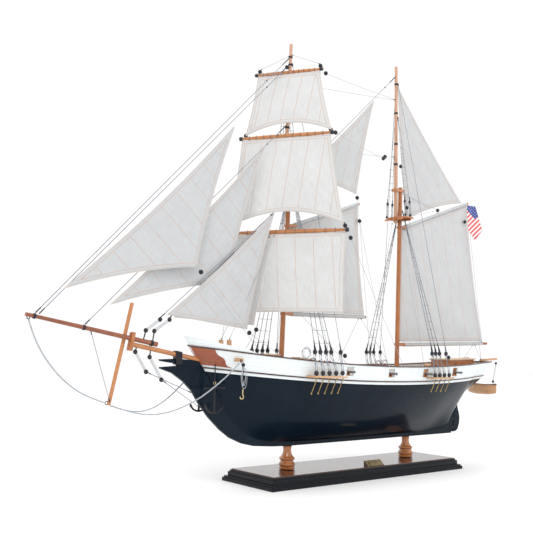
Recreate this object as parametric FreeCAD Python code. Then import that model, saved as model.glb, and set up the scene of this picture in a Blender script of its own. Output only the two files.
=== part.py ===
import FreeCAD, Part
import math
import os

# A wooden display model of a two-masted sailing ship on a stepped base.
# Frame: X aft, Y to starboard, Z up. The origin is the centre of the base's bottom.
# All lengths are in millimetres.

os.makedirs("parts", exist_ok=True)

V = FreeCAD.Vector

# ---------------------------------------------------------------- driving sizes
BASE_LENGTH = 436.0          # lower edge of the plinth
BASE_WIDTH = 127.0
BASE_HEIGHT = 17.2
BASE_STEP = 10.7             # how far the moulding steps in on each side
TOP_BOARD = 1.6              # polished board let on top of the plinth
PEDESTAL_X = 138.0           # pedestals stand this far before and behind the centre
KEEL_Z = 55.0                # underside of the keel

SHEER_X = 95.0               # lowest point of every sheer line
RAIL_Z = 181.5               # top of the cap rail at that point
WALE_Z = 155.5
PAINT_Z = 150.5              # edge between the white band and the dark hull
DECK_Z = 161.5
BULWARK_THICKNESS = 3.0
CAP_THICKNESS = 2.0

LOWER_MAST_RADIUS = 4.2
TOPMAST_RADIUS = 3.6
FORE_RAKE = 0.039            # aft lean, run over rise
MAIN_RAKE = 0.028
FORE_TOP_Z = 452.0           # platforms at the lower mastheads
MAIN_TOP_Z = 446.0
YARD_BRACE = math.radians(31.6)

BOWSPRIT_RISE = 0.182        # slope of bowsprit and jib boom
SAIL_THICKNESS = 0.8
THREAD = 0.45                # radius of light rigging
STAY = 0.6                   # radius of heavy rigging


# ---------------------------------------------------------------- helpers
def save(name, shape):
    shape.exportStep("parts/" + name + ".step")


def group(solids):
    return Part.makeCompound(solids)


def mirrored(shape):
    return shape.mirror(V(0, 0, 0), V(0, 1, 0))


def both_sides(shape):
    return [shape, mirrored(shape)]


def rod(a, b, r1, r2=None):
    """A round bar from a to b, tapering from radius r1 to r2."""
    a, b = V(*a), V(*b)
    run = b - a
    if r2 is None or abs(r1 - r2) < 1e-6:
        return Part.makeCylinder(r1, run.Length, a, run)
    return Part.makeCone(r1, r2, run.Length, a, run)


def block_at(point, axis=(0, 1, 0), radius=2.8, width=3.4):
    """A rounded disc, used for deadeyes and pulley blocks."""
    axis = V(*axis).normalize()
    disc = Part.makeCylinder(radius, width, V(*point) - axis * (width / 2), axis)
    return disc.makeFillet(min(radius, width) * 0.24, disc.Edges)


def turned(profile, centre):
    """A turned solid from (radius, height) points around a vertical axis."""
    points = [V(0, 0, profile[0][1])]
    points += [V(r, 0, h) for r, h in profile]
    points += [V(0, 0, profile[-1][1])]
    wire = Part.makePolygon(points + [points[0]])
    solid = Part.Face(wire).revolve(V(0, 0, 0), V(0, 0, 1), 360)
    solid.translate(V(*centre))
    return solid


def plate(outline, thickness, y=0.0):
    """A flat plate in the XZ plane, centred on y."""
    points = [V(x, y - thickness / 2, z) for x, z in outline]
    return Part.Face(Part.makePolygon(points + [points[0]])).extrude(V(0, thickness, 0))


def slab(outline, z, thickness):
    """A flat board in the XY plane."""
    points = [V(x, y, z) for x, y in outline]
    return Part.Face(Part.makePolygon(points + [points[0]])).extrude(V(0, 0, thickness))


def box(x, y, z, length, width, height):
    """A box centred on x and y with its bottom at z."""
    return Part.makeBox(length, width, height, V(x - length / 2, y - width / 2, z))


def sheer(x, z, curvature=0.00016):
    return z + curvature * (x - SHEER_X) ** 2


def rail_z(x):
    return sheer(x, RAIL_Z)


def wale_z(x):
    return sheer(x, WALE_Z, 0.00014)


def paint_z(x):
    return sheer(x, PAINT_Z, 0.00014)


def deck_z(x):
    return sheer(x, DECK_Z, 0.00015)


def band(lower, upper, start=-390.0, end=360.0):
    """Everything between two sheer curves, as a solid across the ship."""
    steps = 9
    xs = [start + (end - start) * i / (steps - 1) for i in range(steps)]
    low, high = Part.BSplineCurve(), Part.BSplineCurve()
    low.interpolate([V(x, -100, lower(x)) for x in xs])
    high.interpolate([V(x, -100, upper(x)) for x in xs])
    sides = [
        Part.makeLine(V(start, -100, lower(start)), V(start, -100, upper(start))),
        Part.makeLine(V(end, -100, lower(end)), V(end, -100, upper(end))),
    ]
    wire = Part.Wire(Part.__sortEdges__([low.toShape(), sides[1], high.toShape(), sides[0]]))
    return Part.Face(wire).extrude(V(0, 200, 0))


def floor_level(x):
    return 40.0


def sky_level(x):
    return 222.0


# ---------------------------------------------------------------- hull form
HULL_TOP = 225.0
# Stem line from the forefoot up to the rail
STEM = [(-262, 100), (-267, 112), (-274, 126), (-282, 143), (-292, 160), (-303, 177),
        (-316, 194), (-328, 209), (-340, 225)]
# Frames: foot x, foot z, head x, half breadth, roundness of bilge, fullness
FRAMES = [
    (-250, 88, -322, 15, 1.2, 1.30),
    (-232, 75, -300, 31, 1.4, 1.20),
    (-205, 65, -270, 45, 1.7, 1.10),
    (-168, 61, -228, 58, 2.0, 0.95),
    (-120, 60, -170, 68, 2.4, 0.80),
    (-60, 60, -90, 72.5, 2.8, 0.72),
    (0, 60, -10, 73.5, 3.0, 0.68),
    (60, 60, 60, 73, 2.9, 0.72),
    (120, 60, 125, 71.5, 2.6, 0.85),
    (180, 60, 190, 68, 2.4, 1.10),
    (226, 61, 245, 63.5, 2.2, 1.45),
    (256, 66, 282, 60, 2.0, 1.70),
    (266, 90, 300, 58, 1.9, 1.35),
    (280, 114, 314, 56.5, 1.8, 0.95),
    (302, 131, 325, 55, 1.8, 0.70),
    (322, 146, 334, 53.5, 1.9, 0.55),
]


def hull_form(inset=0.0):
    """The closed hull solid, drawn in by inset millimetres (or out, where negative)."""
    levels = len(STEM)
    rows = [[V(x + 2.0 * inset, 0, z) for x, z in STEM]]
    for number, (foot_x, foot_z, head_x, breadth, bilge, fullness) in enumerate(FRAMES):
        row = []
        last = number == len(FRAMES) - 1
        for level in range(levels):
            t = level / (levels - 1)
            y = (breadth - inset) * (1 - (1 - t) ** bilge) ** fullness
            x = foot_x + (head_x - foot_x) * t + 1.2 * inset * (1 - number / 4 if number < 4 else 0)
            row.append(V(x - (inset if last else 0), -y, foot_z + (HULL_TOP - foot_z) * t))
        rows.append(row)
    surface = Part.BSplineSurface()
    surface.interpolate(rows)
    port = surface.toShape()
    starboard = mirrored(port)
    u0, u1, v0, v1 = surface.bounds()
    transom = surface.uIso(u1).toShape()
    sheer_edge = surface.vIso(v1).toShape()
    head = surface.value(u1, v1)
    across = Part.makeLine(head, V(head.x, -head.y, head.z))
    stern = Part.Face(Part.Wire(Part.__sortEdges__([transom, across, mirrored(transom)])))
    lid = Part.Face(Part.Wire(Part.__sortEdges__([sheer_edge, across, mirrored(sheer_edge)])))
    shell = Part.makeShell([port, starboard, stern, lid])
    shell.sewShape()
    solid = Part.Solid(Part.Shell(shell.Faces))
    solid.fix(0.01, 0.01, 0.1)
    if solid.Volume < 0:
        solid.reverse()
    return solid


# ---------------------------------------------------------------- spar geometry
FORE_FOOT = (-153.4, 186.0)
MAIN_FOOT = (114.6, 170.0)
FORE_TOPMAST_X = -152.4
MAIN_TOPMAST_X = 111.5


def fore_x(z):
    """Centre of the fore lower mast at height z."""
    return FORE_FOOT[0] + FORE_RAKE * (z - FORE_FOOT[1])


def main_x(z):
    """Centre of the main lower mast at height z."""
    return MAIN_FOOT[0] + MAIN_RAKE * (z - MAIN_FOOT[1])


def fore_top_x(z):
    """Centre of the fore topmast at height z."""
    return FORE_TOPMAST_X + FORE_RAKE * (z - 460.0)


def main_top_x(z):
    """Centre of the main topmast at height z."""
    return MAIN_TOPMAST_X + 0.002 * (z - 460.0)


def bowsprit_z(x):
    """Centre of the bowsprit at x."""
    return 190.5 - BOWSPRIT_RISE * (x + 316.0)


def boom_z(x):
    """Centre of the jib boom at x."""
    return 210.3 - BOWSPRIT_RISE * (x + 381.0)


# ---------------------------------------------------------------- base
def base_pieces():
    half_l, half_w = BASE_LENGTH / 2, BASE_WIDTH / 2
    # heights and how far each layer of the stepped moulding stands in
    layers = [(0.0, 5.4, 0.0), (5.4, 8.0, 2.2), (8.0, 14.6, 6.4), (14.6, BASE_HEIGHT, 8.6)]
    board = None
    for low, high, inset in layers:
        layer = box(0, 0, low, 2 * (half_l - inset), 2 * (half_w - inset), high - low)
        upright = [e for e in layer.Edges if abs(e.tangentAt(e.FirstParameter).z) > 0.99]
        layer = layer.makeFillet(0.8, upright)
        board = layer if board is None else board.fuse(layer)
    board = board.removeSplitter()
    top = box(0, 0, BASE_HEIGHT, 2 * (half_l - BASE_STEP), 2 * (half_w - BASE_STEP), TOP_BOARD)
    top = top.makeChamfer(0.5, [e for e in top.Edges if e.CenterOfMass.z > BASE_HEIGHT + 1])
    return board, top


def pedestal(height):
    """A turned foot: collar, groove, bead, cove and neck."""
    profile = [(9.4, 0), (12.6, 1.2), (12.9, 3.4), (11.4, 4.6), (13.1, 7.4), (13.1, 9.6),
               (10.6, 12.6), (10.2, 14.2), (12.8, 16.8), (12.6, 18.2), (9.2, 21.0),
               (7.0, 25.0), (6.4, 30.0), (6.8, height - 1.6), (7.4, height)]
    return turned(profile, (0, 0, BASE_HEIGHT + TOP_BOARD))


base_board, base_top = base_pieces()
TOP_Z = BASE_HEIGHT + TOP_BOARD
pedestals = []
for x in (-PEDESTAL_X, PEDESTAL_X):
    foot = pedestal(KEEL_Z - TOP_Z)
    foot.translate(V(x, 0, 0))
    pedestals.append(foot)
save("base_board", base_board)
save("pedestals", group(pedestals))

# sloping block on the port edge of the base that carries a blank brass plate
PLATE_X = 12.0
PLATE_Y = -44.0
wedge_outline = [V(PLATE_X - 19, PLATE_Y - 5.5, TOP_Z), V(PLATE_X - 19, PLATE_Y + 4.5, TOP_Z),
                 V(PLATE_X - 19, PLATE_Y + 4.5, TOP_Z + 8)]
wedge = Part.Face(Part.makePolygon(wedge_outline + [wedge_outline[0]])).extrude(V(38, 0, 0))
save("base_top", group([base_top, wedge]))
nameplate = Part.makeBox(36, 12.2, 0.6, V(-18, -6.1, 0))
nameplate.rotate(V(0, 0, 0), V(1, 0, 0), math.degrees(math.atan2(8, 10)))
nameplate.translate(V(PLATE_X, PLATE_Y - 0.52, TOP_Z + 4.03))
save("nameplate", nameplate)

# ---------------------------------------------------------------- hull
outer = hull_form()
inner = hull_form(BULWARK_THICKNESS)
proud = hull_form(-0.9)

hull = outer.common(band(floor_level, paint_z))

# keel, stem, sternpost and the forked knee under the bowsprit, all one flat timber
KEEL_THICKNESS = 4.4
keel_outline = [(-377, 189.5), (-375, 186.8), (-352, 183.6), (-347, 180.5), (-375, 178.6),
                (-376, 176.6), (-355, 169.6), (-336, 157.6), (-321, 143.6), (-309, 126),
                (-291, 105), (-270, 86), (-252, 73.4), (-230, 64), (-208, 59), (-170, 56),
                (-140, KEEL_Z), (262, KEEL_Z), (267, 62), (272, 96), (274, 113), (250, 113),
                (240, 66), (-160, 66), (-215, 74), (-250, 100), (-272, 150), (-300, 190),
                (-312, 187.5), (-345, 190.5)]
keel = plate(keel_outline, KEEL_THICKNESS).cut(outer)
keel = max(keel.Solids, key=lambda solid: solid.Volume)

# rudder, hung on the sternpost and turning about its forward edge
RUDDER_FOOT = (268.6, 57.0)
RUDDER_CLEARANCE = 2.6       # open water between the rudder and the hull's run
rudder_outline = [(269.4, 57.0), (278.5, 58.2), (284, 62.5), (288, 72), (289.2, 83), (287.4, 92),
                  (284.4, 99), (283.0, 105), (282.7, 107.5), (276.2, 107.5)]
rudder = plate(rudder_outline, 3.4)
rudder = rudder.cut(hull_form(-RUDDER_CLEARANCE))
rudder = max(rudder.Solids, key=lambda solid: solid.Volume)
gudgeons = [rod((RUDDER_FOOT[0] + 0.122 * (z - 57) + 0.2, 0, z),
                (RUDDER_FOOT[0] + 0.122 * (z + 2.6 - 57) + 0.2, 0, z + 2.6), 1.0)
            for z in (64.0, 80.0, 96.0)]
rudder = rudder.cut(group([rod((s.CenterOfMass.x, 0, s.CenterOfMass.z - 2.0),
                               (s.CenterOfMass.x + 0.5, 0, s.CenterOfMass.z + 2.0), 1.35)
                           for s in gudgeons]))
keel = keel.cut(group([rod((s.CenterOfMass.x, 0, s.CenterOfMass.z - 1.5),
                           (s.CenterOfMass.x + 0.4, 0, s.CenterOfMass.z + 1.5), 1.05)
                       for s in gudgeons]))

bulwark = outer.common(band(paint_z, lambda x: rail_z(x) - CAP_THICKNESS))
bulwark = bulwark.cut(inner.common(band(lambda x: deck_z(x) - 1.6, sky_level)))
deck = hull_form(BULWARK_THICKNESS + 0.05).common(band(lambda x: deck_z(x) - 1.6, deck_z))

# gunports, four to a side
PORT_XS = (-70.0, 25.0, 114.0, 201.0)
PORT_LENGTH = 15.0
PORT_HEIGHT = 14.0
for x in PORT_XS:
    for side in (-1, 1):
        opening = box(x, side * 66, deck_z(x) + 1.2, PORT_LENGTH, 40, PORT_HEIGHT)
        bulwark = bulwark.cut(opening)

cap_outer = hull_form(-1.0)
cap_inner = hull_form(BULWARK_THICKNESS + 1.2)
cap_rail = cap_outer.common(band(lambda x: rail_z(x) - CAP_THICKNESS, rail_z)).cut(cap_inner)

wale = proud.common(band(lambda x: wale_z(x) - 1.0, lambda x: wale_z(x) + 1.0)).cut(outer)
wale = wale.cut(box(-330, 0, 100, 66, 5, 120))
wale = group(wale.Solids)

# raised white washboard round the bow, tapering to a step
washboard_zone = band(rail_z, lambda x: rail_z(x) + 12.2 - 0.112 * (x + 330), -345, -247)
washboard = hull_form(0.2).common(washboard_zone).cut(hull_form(2.6))
BOWSPRIT_RADIUS = 3.5
bowsprit = rod((-286, 0, bowsprit_z(-286)), (-425, 0, bowsprit_z(-425)), BOWSPRIT_RADIUS, 3.3)
hull_hole = rod((-280, 0, bowsprit_z(-280)), (-440, 0, bowsprit_z(-440)), BOWSPRIT_RADIUS + 0.05)
bulwark = bulwark.cut(hull_hole)
deck = deck.cut(hull_hole)
keel = keel.cut(hull_hole)
cap_rail = cap_rail.cut(hull_hole)
washboard = max(washboard.cut(hull_hole).Solids, key=lambda solid: solid.Volume)

# mahogany cheeks on both bows, with an S-shaped after edge
cheek_outline = [(-298, 204.5), (-295.5, 199.5), (-291.5, 195.5), (-285, 192), (-281.5, 188),
                 (-280, 183.5), (-276.5, 180), (-270, 177.6), (-345, 186.5), (-345, 212)]
cheeks = hull_form(-0.7).common(plate(cheek_outline, 200)).cut(outer)
cheeks = cheeks.cut(band(lambda x: rail_z(x) - CAP_THICKNESS - 0.2, sky_level))
cheeks = cheeks.cut(band(floor_level, lambda x: wale_z(x) + 1.2))
cheeks = cheeks.cut(hull_hole).cut(box(-330, 0, 100, 80, KEEL_THICKNESS + 0.2, 140))
cheeks = group([s for s in cheeks.Solids if s.Volume > 20])

# hawse holes for the anchor cables
HAWSE_X = -296.0
for side in (-1, 1):
    hole = rod((HAWSE_X + 6, 0, 186), (HAWSE_X - 8, side * 34, 186), 1.6)
    bulwark = bulwark.cut(hole)
    cheeks = group(cheeks.cut(hole).Solids)

# ---------------------------------------------------------------- masts
FORE_LOWER_HEAD = 512.0
MAIN_LOWER_HEAD = 505.0
fore_foot_z = deck_z(-153) - 10
main_foot_z = deck_z(114) - 10
fore_lower_mast = rod((fore_x(fore_foot_z), 0, fore_foot_z),
                      (fore_x(FORE_LOWER_HEAD), 0, FORE_LOWER_HEAD), LOWER_MAST_RADIUS, 3.7)
main_lower_mast = rod((main_x(main_foot_z), 0, main_foot_z),
                      (main_x(MAIN_LOWER_HEAD), 0, MAIN_LOWER_HEAD), LOWER_MAST_RADIUS, 3.7)
fore_topmast = rod((fore_top_x(444), 0, 444), (fore_top_x(709), 0, 709), TOPMAST_RADIUS, 2.6)
main_topmast = rod((main_top_x(438), 0, 438), (main_top_x(731), 0, 731), TOPMAST_RADIUS, 2.6)
mast_steps = group([fore_lower_mast, main_lower_mast])
deck = deck.cut(mast_steps)
bulwark = bulwark.cut(mast_steps)


def mast_top(x_lower, x_upper, z):
    """The platform at a lower masthead, rounded forward, on two trestle bars."""
    outline = [(x_upper - 8, -12), (x_upper - 8, 12), (x_upper - 3, 19), (x_upper + 5, 24),
               (x_lower + 9, 25), (x_lower + 12, 22), (x_lower + 12, -22), (x_lower + 9, -25),
               (x_upper + 5, -24), (x_upper - 3, -19)]
    board = slab(outline, z, 2.4)
    bars = [box((x_lower + x_upper) / 2, side * 5.8, z - 3, 32, 2.2, 3) for side in (-1, 1)]
    bars += [box(x, 0, z - 3, 2.4, 40, 3) for x in (x_upper - 6.2, x_lower + 7.2)]
    for bar in bars:
        board = board.fuse(bar)
    return board.removeSplitter()


def mast_cap(x_lower, x_upper, z):
    """The block that joins a lower masthead to its topmast."""
    cap = box((x_lower + x_upper) / 2, 0, z, x_lower - x_upper + 13, 11, 4.6)
    return cap.makeFillet(1.2, [e for e in cap.Edges if abs(e.tangentAt(0).z) > 0.99])


FORE_CAP_Z = 503.0
MAIN_CAP_Z = 496.0
fore_masts = group([fore_lower_mast, fore_topmast])
main_masts = group([main_lower_mast, main_topmast])
fore_top = mast_top(fore_x(FORE_TOP_Z), fore_top_x(FORE_TOP_Z), FORE_TOP_Z).cut(fore_masts)
main_top = mast_top(main_x(MAIN_TOP_Z), main_top_x(MAIN_TOP_Z), MAIN_TOP_Z).cut(main_masts)
fore_cap = mast_cap(fore_x(FORE_CAP_Z), fore_top_x(FORE_CAP_Z), FORE_CAP_Z).cut(fore_masts)
main_cap = mast_cap(main_x(MAIN_CAP_Z), main_top_x(MAIN_CAP_Z), MAIN_CAP_Z).cut(main_masts)

# black bands seized round the topmasts
BAND_ZS = {"fore": (565.0, 672.0, 685.0), "main": (545.0, 583.0, 641.0, 696.0)}


def mast_bands(axis, heights):
    bands = []
    for z in heights:
        radius = TOPMAST_RADIUS - (z - 445.0) / 265.0 + 0.65
        ring = rod((axis(z), 0, z), (axis(z + 3), 0, z + 3), radius)
        bands.append(ring)
    return bands


topmast_bands = group(mast_bands(fore_top_x, BAND_ZS["fore"]) +
                      mast_bands(main_top_x, BAND_ZS["main"]))
topmast_bands = topmast_bands.cut(group([fore_topmast, main_topmast]))

# ---------------------------------------------------------------- bowsprit group
jib_boom = rod((-381, 0, boom_z(-381)), (-574, 0, boom_z(-574)), 3.5, 2.5)
slope = math.degrees(math.atan(BOWSPRIT_RISE))
bowsprit_cap = Part.makeBox(5, 10, 26, V(-2.5, -5, -13))
bowsprit_cap = bowsprit_cap.makeFillet(1.0, bowsprit_cap.Edges)
bowsprit_cap.rotate(V(0, 0, 0), V(0, 1, 0), slope)
bowsprit_cap.translate(V(-422, 0, 213.6))
bowsprit_cap = bowsprit_cap.cut(group([bowsprit, jib_boom]))


def spar_collars(axis_z, xs, radius, length):
    """Black bands round a sloping spar."""
    collars = []
    for x in xs:
        collar = rod((x, 0, axis_z(x)), (x - length, 0, axis_z(x - length)), radius)
        collars.append(collar)
    return collars


boom_collars = group(spar_collars(boom_z, (-561, -492), 3.6, 3) +
                     spar_collars(boom_z, (-388,), 4.1, 4)).cut(jib_boom).cut(bowsprit)

# dolphin striker, standing close on the starboard side of the jib boom
STRIKER_Y = 6.4
striker_head = (-419.0, STRIKER_Y, 267.0)
striker_foot = (-449.5, STRIKER_Y, 127.0)
dolphin_striker = rod(striker_foot, striker_head, 2.7)

# lashing of the bowsprit to the knee
gammon_rings = []
for turn in range(4):
    x = -342.0 - 2.6 * turn
    loop_outer = plate([(x - 1.1, 182), (x - 1.1, bowsprit_z(x) + 5.2),
                        (x + 1.1, bowsprit_z(x) + 5.2), (x + 1.1, 182)], 9.6)
    loop_outer = loop_outer.makeFillet(1.0, [e for e in loop_outer.Edges if e.Length < 3])
    gammon_rings.append(loop_outer)
gammoning = group(gammon_rings).cut(bowsprit).cut(keel)

# ---------------------------------------------------------------- yards
# height, half length, radius, mast line, and how far the yard stands off ahead of that line,
# so that it lies clear of the shrouds when it is braced round
YARDS = {
    "topgallant_yard": (657.0, 59.0, 2.7, fore_top_x, 11.0),
    "topsail_yard": (549.5, 79.0, 3.1, fore_top_x, 13.8),
    "course_yard": (393.0, 102.0, 3.4, fore_x, 16.8),
}
STAND_OFF_LEAST = 6.5        # a yard that just clears its mast
BRACE_SHIFT = 0.36           # a braced yard lies this much off centre for each millimetre it stands off
PORT_WAY = V(math.sin(YARD_BRACE), -math.cos(YARD_BRACE), 0)
FORWARD_WAY = V(-math.cos(YARD_BRACE), -math.sin(YARD_BRACE), 0)


def yard_centre(name):
    z, half, radius, axis, stand_off = YARDS[name]
    centred = stand_off - STAND_OFF_LEAST
    return V(axis(z), 0, z) + FORWARD_WAY * stand_off + PORT_WAY * (BRACE_SHIFT * centred)


def yard(name):
    """A spar tapered to both ends, braced round to port."""
    half, radius = YARDS[name][1], YARDS[name][2]
    profile = [(0, -half), (radius * 0.62, -half), (radius * 0.75, -half * 0.86),
               (radius, -half * 0.45), (radius, half * 0.45), (radius * 0.75, half * 0.86),
               (radius * 0.62, half), (0, half)]
    wire = Part.makePolygon([V(r, 0, h) for r, h in profile] + [V(0, 0, -half)])
    spar = Part.Face(wire).revolve(V(0, 0, 0), V(0, 0, 1), 360)
    spar.rotate(V(0, 0, 0), V(1, 0, 0), 90)
    spar.rotate(V(0, 0, 0), V(0, 0, 1), math.degrees(YARD_BRACE))
    spar.translate(yard_centre(name))
    return spar


def on_yard(name, along, up=0.0, forward=0.0):
    """A point on a yard: along is positive towards the port end."""
    point = yard_centre(name) + PORT_WAY * along + FORWARD_WAY * forward
    return (point.x, point.y, point.z + up)


yards = {name: yard(name) for name in YARDS}

# ---------------------------------------------------------------- gaffs and booms
GAFF_RADIUS = 2.9
fore_throat = (fore_x(405) + 8.2, 0, 405.5)
fore_peak = (18.0, 0, 461.5)
fore_tack = (fore_x(264) + 8.2, 0, 263.0)
fore_boom_end = (35.0, 0, 264.5)
main_throat = (main_x(431) + 8.2, 0, 431.5)
main_peak = (321.0, 0, 500.5)
main_tack = (main_x(219) + 8.2, 0, 218.5)
main_boom_end = (377.0, 0, 224.5)
fore_gaff = rod(fore_throat, fore_peak, GAFF_RADIUS, 2.1)
fore_boom = rod(fore_tack, fore_boom_end, GAFF_RADIUS, 2.3)
main_gaff = rod(main_throat, main_peak, GAFF_RADIUS, 2.1)
main_boom = rod(main_tack, main_boom_end, 3.1, 2.5)


def jaws(point, mast_axis):
    """A pair of cheeks that hold a gaff or boom to its mast."""
    x, y, z = point
    mast_x = mast_axis(z)
    cheek = box((mast_x + x + 4) / 2 + 1, 0, z - 2, x - mast_x + 10, 13, 4)
    return cheek.makeFillet(1.0, [e for e in cheek.Edges if abs(e.tangentAt(0).z) > 0.99])


fore_jaws = [jaws(fore_throat, fore_x), jaws(fore_tack, fore_x)]
main_jaws = [jaws(main_throat, main_x), jaws(main_tack, main_x)]
spar_jaws = group(fore_jaws + main_jaws)
for solid in (fore_lower_mast, main_lower_mast, fore_gaff, fore_boom, main_gaff, main_boom):
    spar_jaws = spar_jaws.cut(solid)
spar_jaws = spar_jaws.cut(group([rod((fore_x(250), 0, 250), (fore_x(420), 0, 420), 4.3),
                                 rod((main_x(205), 0, 205), (main_x(445), 0, 445), 4.3)]))

# ---------------------------------------------------------------- sails
def sail(corners, hollows):
    """
    A thin flat sail. corners are points in order; hollows gives for each edge how far
    its middle curves in towards the sail (out where negative).
    """
    points = [V(*corner) for corner in corners]
    middle = V(0, 0, 0)
    for point in points:
        middle += point / len(points)
    edges = []
    for index, start in enumerate(points):
        end = points[(index + 1) % len(points)]
        hollow = hollows[index]
        if abs(hollow) < 0.01:
            edges.append(Part.makeLine(start, end))
            continue
        half_way = (start + end) * 0.5
        along = (end - start).normalize()
        inward = middle - half_way
        inward = (inward - along * inward.dot(along)).normalize()
        edges.append(Part.Arc(start, half_way + inward * hollow, end).toShape())
    normal = (points[1] - points[0]).cross(points[2] - points[0]).normalize()
    face = Part.Face(Part.Wire(edges))
    face.translate(normal * (-SAIL_THICKNESS / 2))
    return face.extrude(normal * SAIL_THICKNESS)


def square_sail(head_yard, head_half, foot_half, drop, foot_hollow, foot_ahead):
    """A square sail hung from a yard, its foot drop below the yard and foot_ahead before it."""
    gap = YARDS[head_yard][2] + 0.6
    shift = BRACE_SHIFT * foot_ahead
    corners = [on_yard(head_yard, -head_half, -gap), on_yard(head_yard, head_half, -gap),
               on_yard(head_yard, foot_half + shift, -drop, foot_ahead),
               on_yard(head_yard, shift - foot_half, -drop, foot_ahead)]
    return sail(corners, (0, 2, foot_hollow, 2))


# yard, half lengths of head and foot, drop, hollow of the foot, and how far it stands ahead
SQUARE_SAILS = {
    "topgallant_sail": ("topgallant_yard", 53.0, 73.0, 103.0, 17.0, 6.0),
    "topsail": ("topsail_yard", 75.0, 96.0, 148.0, 22.0, 14.0),
    "course": ("course_yard", 98.0, 92.0, 130.0, 1.0, 26.0),
}
JIBS = {
    "jib_outer": ((-524, 0, 281), (-253, 0, 552), (-327, -14, 324), (7, 5, 6)),
    "jib_middle": ((-456, 0, 263), (-193, 0, 528), (-258, 5, 306), (6, 5, 5)),
    "jib_inner": ((-366, -1, 253), (-173, -1, 424), (-231, -11, 236), (4, 3, 0)),
    "jib_stay": ((-352, 3, 250), (-175, 3, 385), (-207, 3, 243), (4, 2, 0)),
}
LUFF_GAP = LOWER_MAST_RADIUS + 1.6
STAYSAIL = ((-119, 0, 494), (54, 0, 656), (10, 0, 478))
FORE_SAIL = ((fore_x(400) + LUFF_GAP, 0, 402), (14, 0, 455.5), (31, 0, 268.5),
             (fore_x(268) + LUFF_GAP, 0, 268))
MAIN_SAIL = ((main_x(428) + LUFF_GAP, 0, 428), (316, 0, 494.5), (362, 0, 229),
             (main_x(224) + LUFF_GAP, 0, 224))
GAFF_TOPSAIL = ((main_top_x(694) + 4.4, 0, 694), (main_x(447) + 15.5, 0, 447), (300, 0, 499))

sails = {name: square_sail(*values) for name, values in SQUARE_SAILS.items()}
for name, (tack, head, clew, hollows) in JIBS.items():
    sails[name] = sail((tack, head, clew), hollows)
sails["topmast_staysail"] = sail(STAYSAIL, (3, 3, 3))
sails["fore_gaff_sail"] = sail(FORE_SAIL, (0, 4, 0, 0))
sails["main_gaff_sail"] = sail(MAIN_SAIL, (0, 5, 0, 0))
sails["gaff_topsail"] = sail(GAFF_TOPSAIL, (0, 7, 5))
for name, gaff in (("fore_gaff_sail", fore_gaff), ("main_gaff_sail", main_gaff)):
    cut_sail = sails[name].cut(gaff).cut(spar_jaws)
    sails[name] = max(cut_sail.Solids, key=lambda solid: solid.Volume)

# flag at the peak of the main gaff, hanging aslant from its staff line
def flag_point(x, z):
    return (x, 2.0 - 0.5 * (x - 322.0), z)


flag_corners = [flag_point(323, 497), flag_point(337, 496), flag_point(350, 449),
                flag_point(337, 428), flag_point(313, 461)]
flag = sail(flag_corners, (0, -1.5, 0, -2, 0))

# ---------------------------------------------------------------- deck fittings
bitts = group([rod((-263, side * 10.5, deck_z(-263) - 2), (-263, side * 10.5, 219), 3.6)
               for side in (-1, 1)])
bitts = bitts.cut(band(floor_level, lambda x: deck_z(x) + 0.02))

CATHEAD_X = -268.0
CATHEAD_END = 51.0
catheads = [box(CATHEAD_X, side * 41, 187.5, 5, 2 * (CATHEAD_END - 41), 5) for side in (-1, 1)]
bulwark = bulwark.cut(group([box(CATHEAD_X, side * 41, 187.45, 5.1, 20.2, 5.1) for side in (-1, 1)]))
cheeks = group(cheeks.cut(group(catheads)).Solids)
catheads = group(catheads)


def companion(x, length, width, top, ridge):
    """A deck hatch with a sloping roof: walls and roof."""
    base = deck_z(x) + 0.4
    walls = plate([(x - length / 2, base), (x - length / 2, top), (x + length / 2, top - ridge),
                   (x + length / 2, base)], width)
    roof = plate([(x - length / 2 - 1.5, top), (x - length / 2 - 1.5, top + 1.8),
                  (x + length / 2 + 1.5, top - ridge + 1.8), (x + length / 2 + 1.5, top - ridge)],
                 width + 3)
    return walls, roof.cut(walls)


fore_hatch_walls, fore_hatch_roof = companion(-176, 20, 20, 197.5, 1.0)
scuttle_walls, scuttle_roof = companion(-106, 32, 18, 192.5, 4.0)

HOUSE_START = 236.0
HOUSE_END = 306.0
HOUSE_WIDTH = 46.0
house_outline = [(HOUSE_START, deck_z(HOUSE_START) + 0.4), (HOUSE_START, rail_z(HOUSE_START) + 6.5),
                 (HOUSE_END, rail_z(HOUSE_END) + 4.5), (HOUSE_END, deck_z(HOUSE_END) + 0.4)]
deckhouse = plate(house_outline, HOUSE_WIDTH)
house_deck = band(floor_level, lambda x: deck_z(x) + 0.02)
deckhouse = deckhouse.cut(house_deck)
windows = [box(HOUSE_START + 14 + 20 * i, side * HOUSE_WIDTH / 2, rail_z(250) - 6, 9, 2, 6)
           for i in range(3) for side in (-1, 1)]
deckhouse = deckhouse.cut(group(windows))
deckhouse_roof = plate([(HOUSE_START - 2.5, rail_z(HOUSE_START) + 6.5),
                        (HOUSE_START - 2.5, rail_z(HOUSE_START) + 8.6),
                        (HOUSE_END + 2.5, rail_z(HOUSE_END) + 6.6),
                        (HOUSE_END + 2.5, rail_z(HOUSE_END) + 4.5)], HOUSE_WIDTH + 5)
deckhouse_roof = deckhouse_roof.cut(deckhouse)
fore_hatch_walls = fore_hatch_walls.cut(house_deck)
scuttle_walls = scuttle_walls.cut(house_deck)

capstan = turned([(7.2, 0), (7.2, 1.8), (4.6, 3.2), (4.2, 11), (6.4, 14.5), (7.0, 16.5),
                  (6.6, 18.4), (4.8, 20.4), (2.2, 21.4)], (197, 0, deck_z(197) + 0.3))

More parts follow.
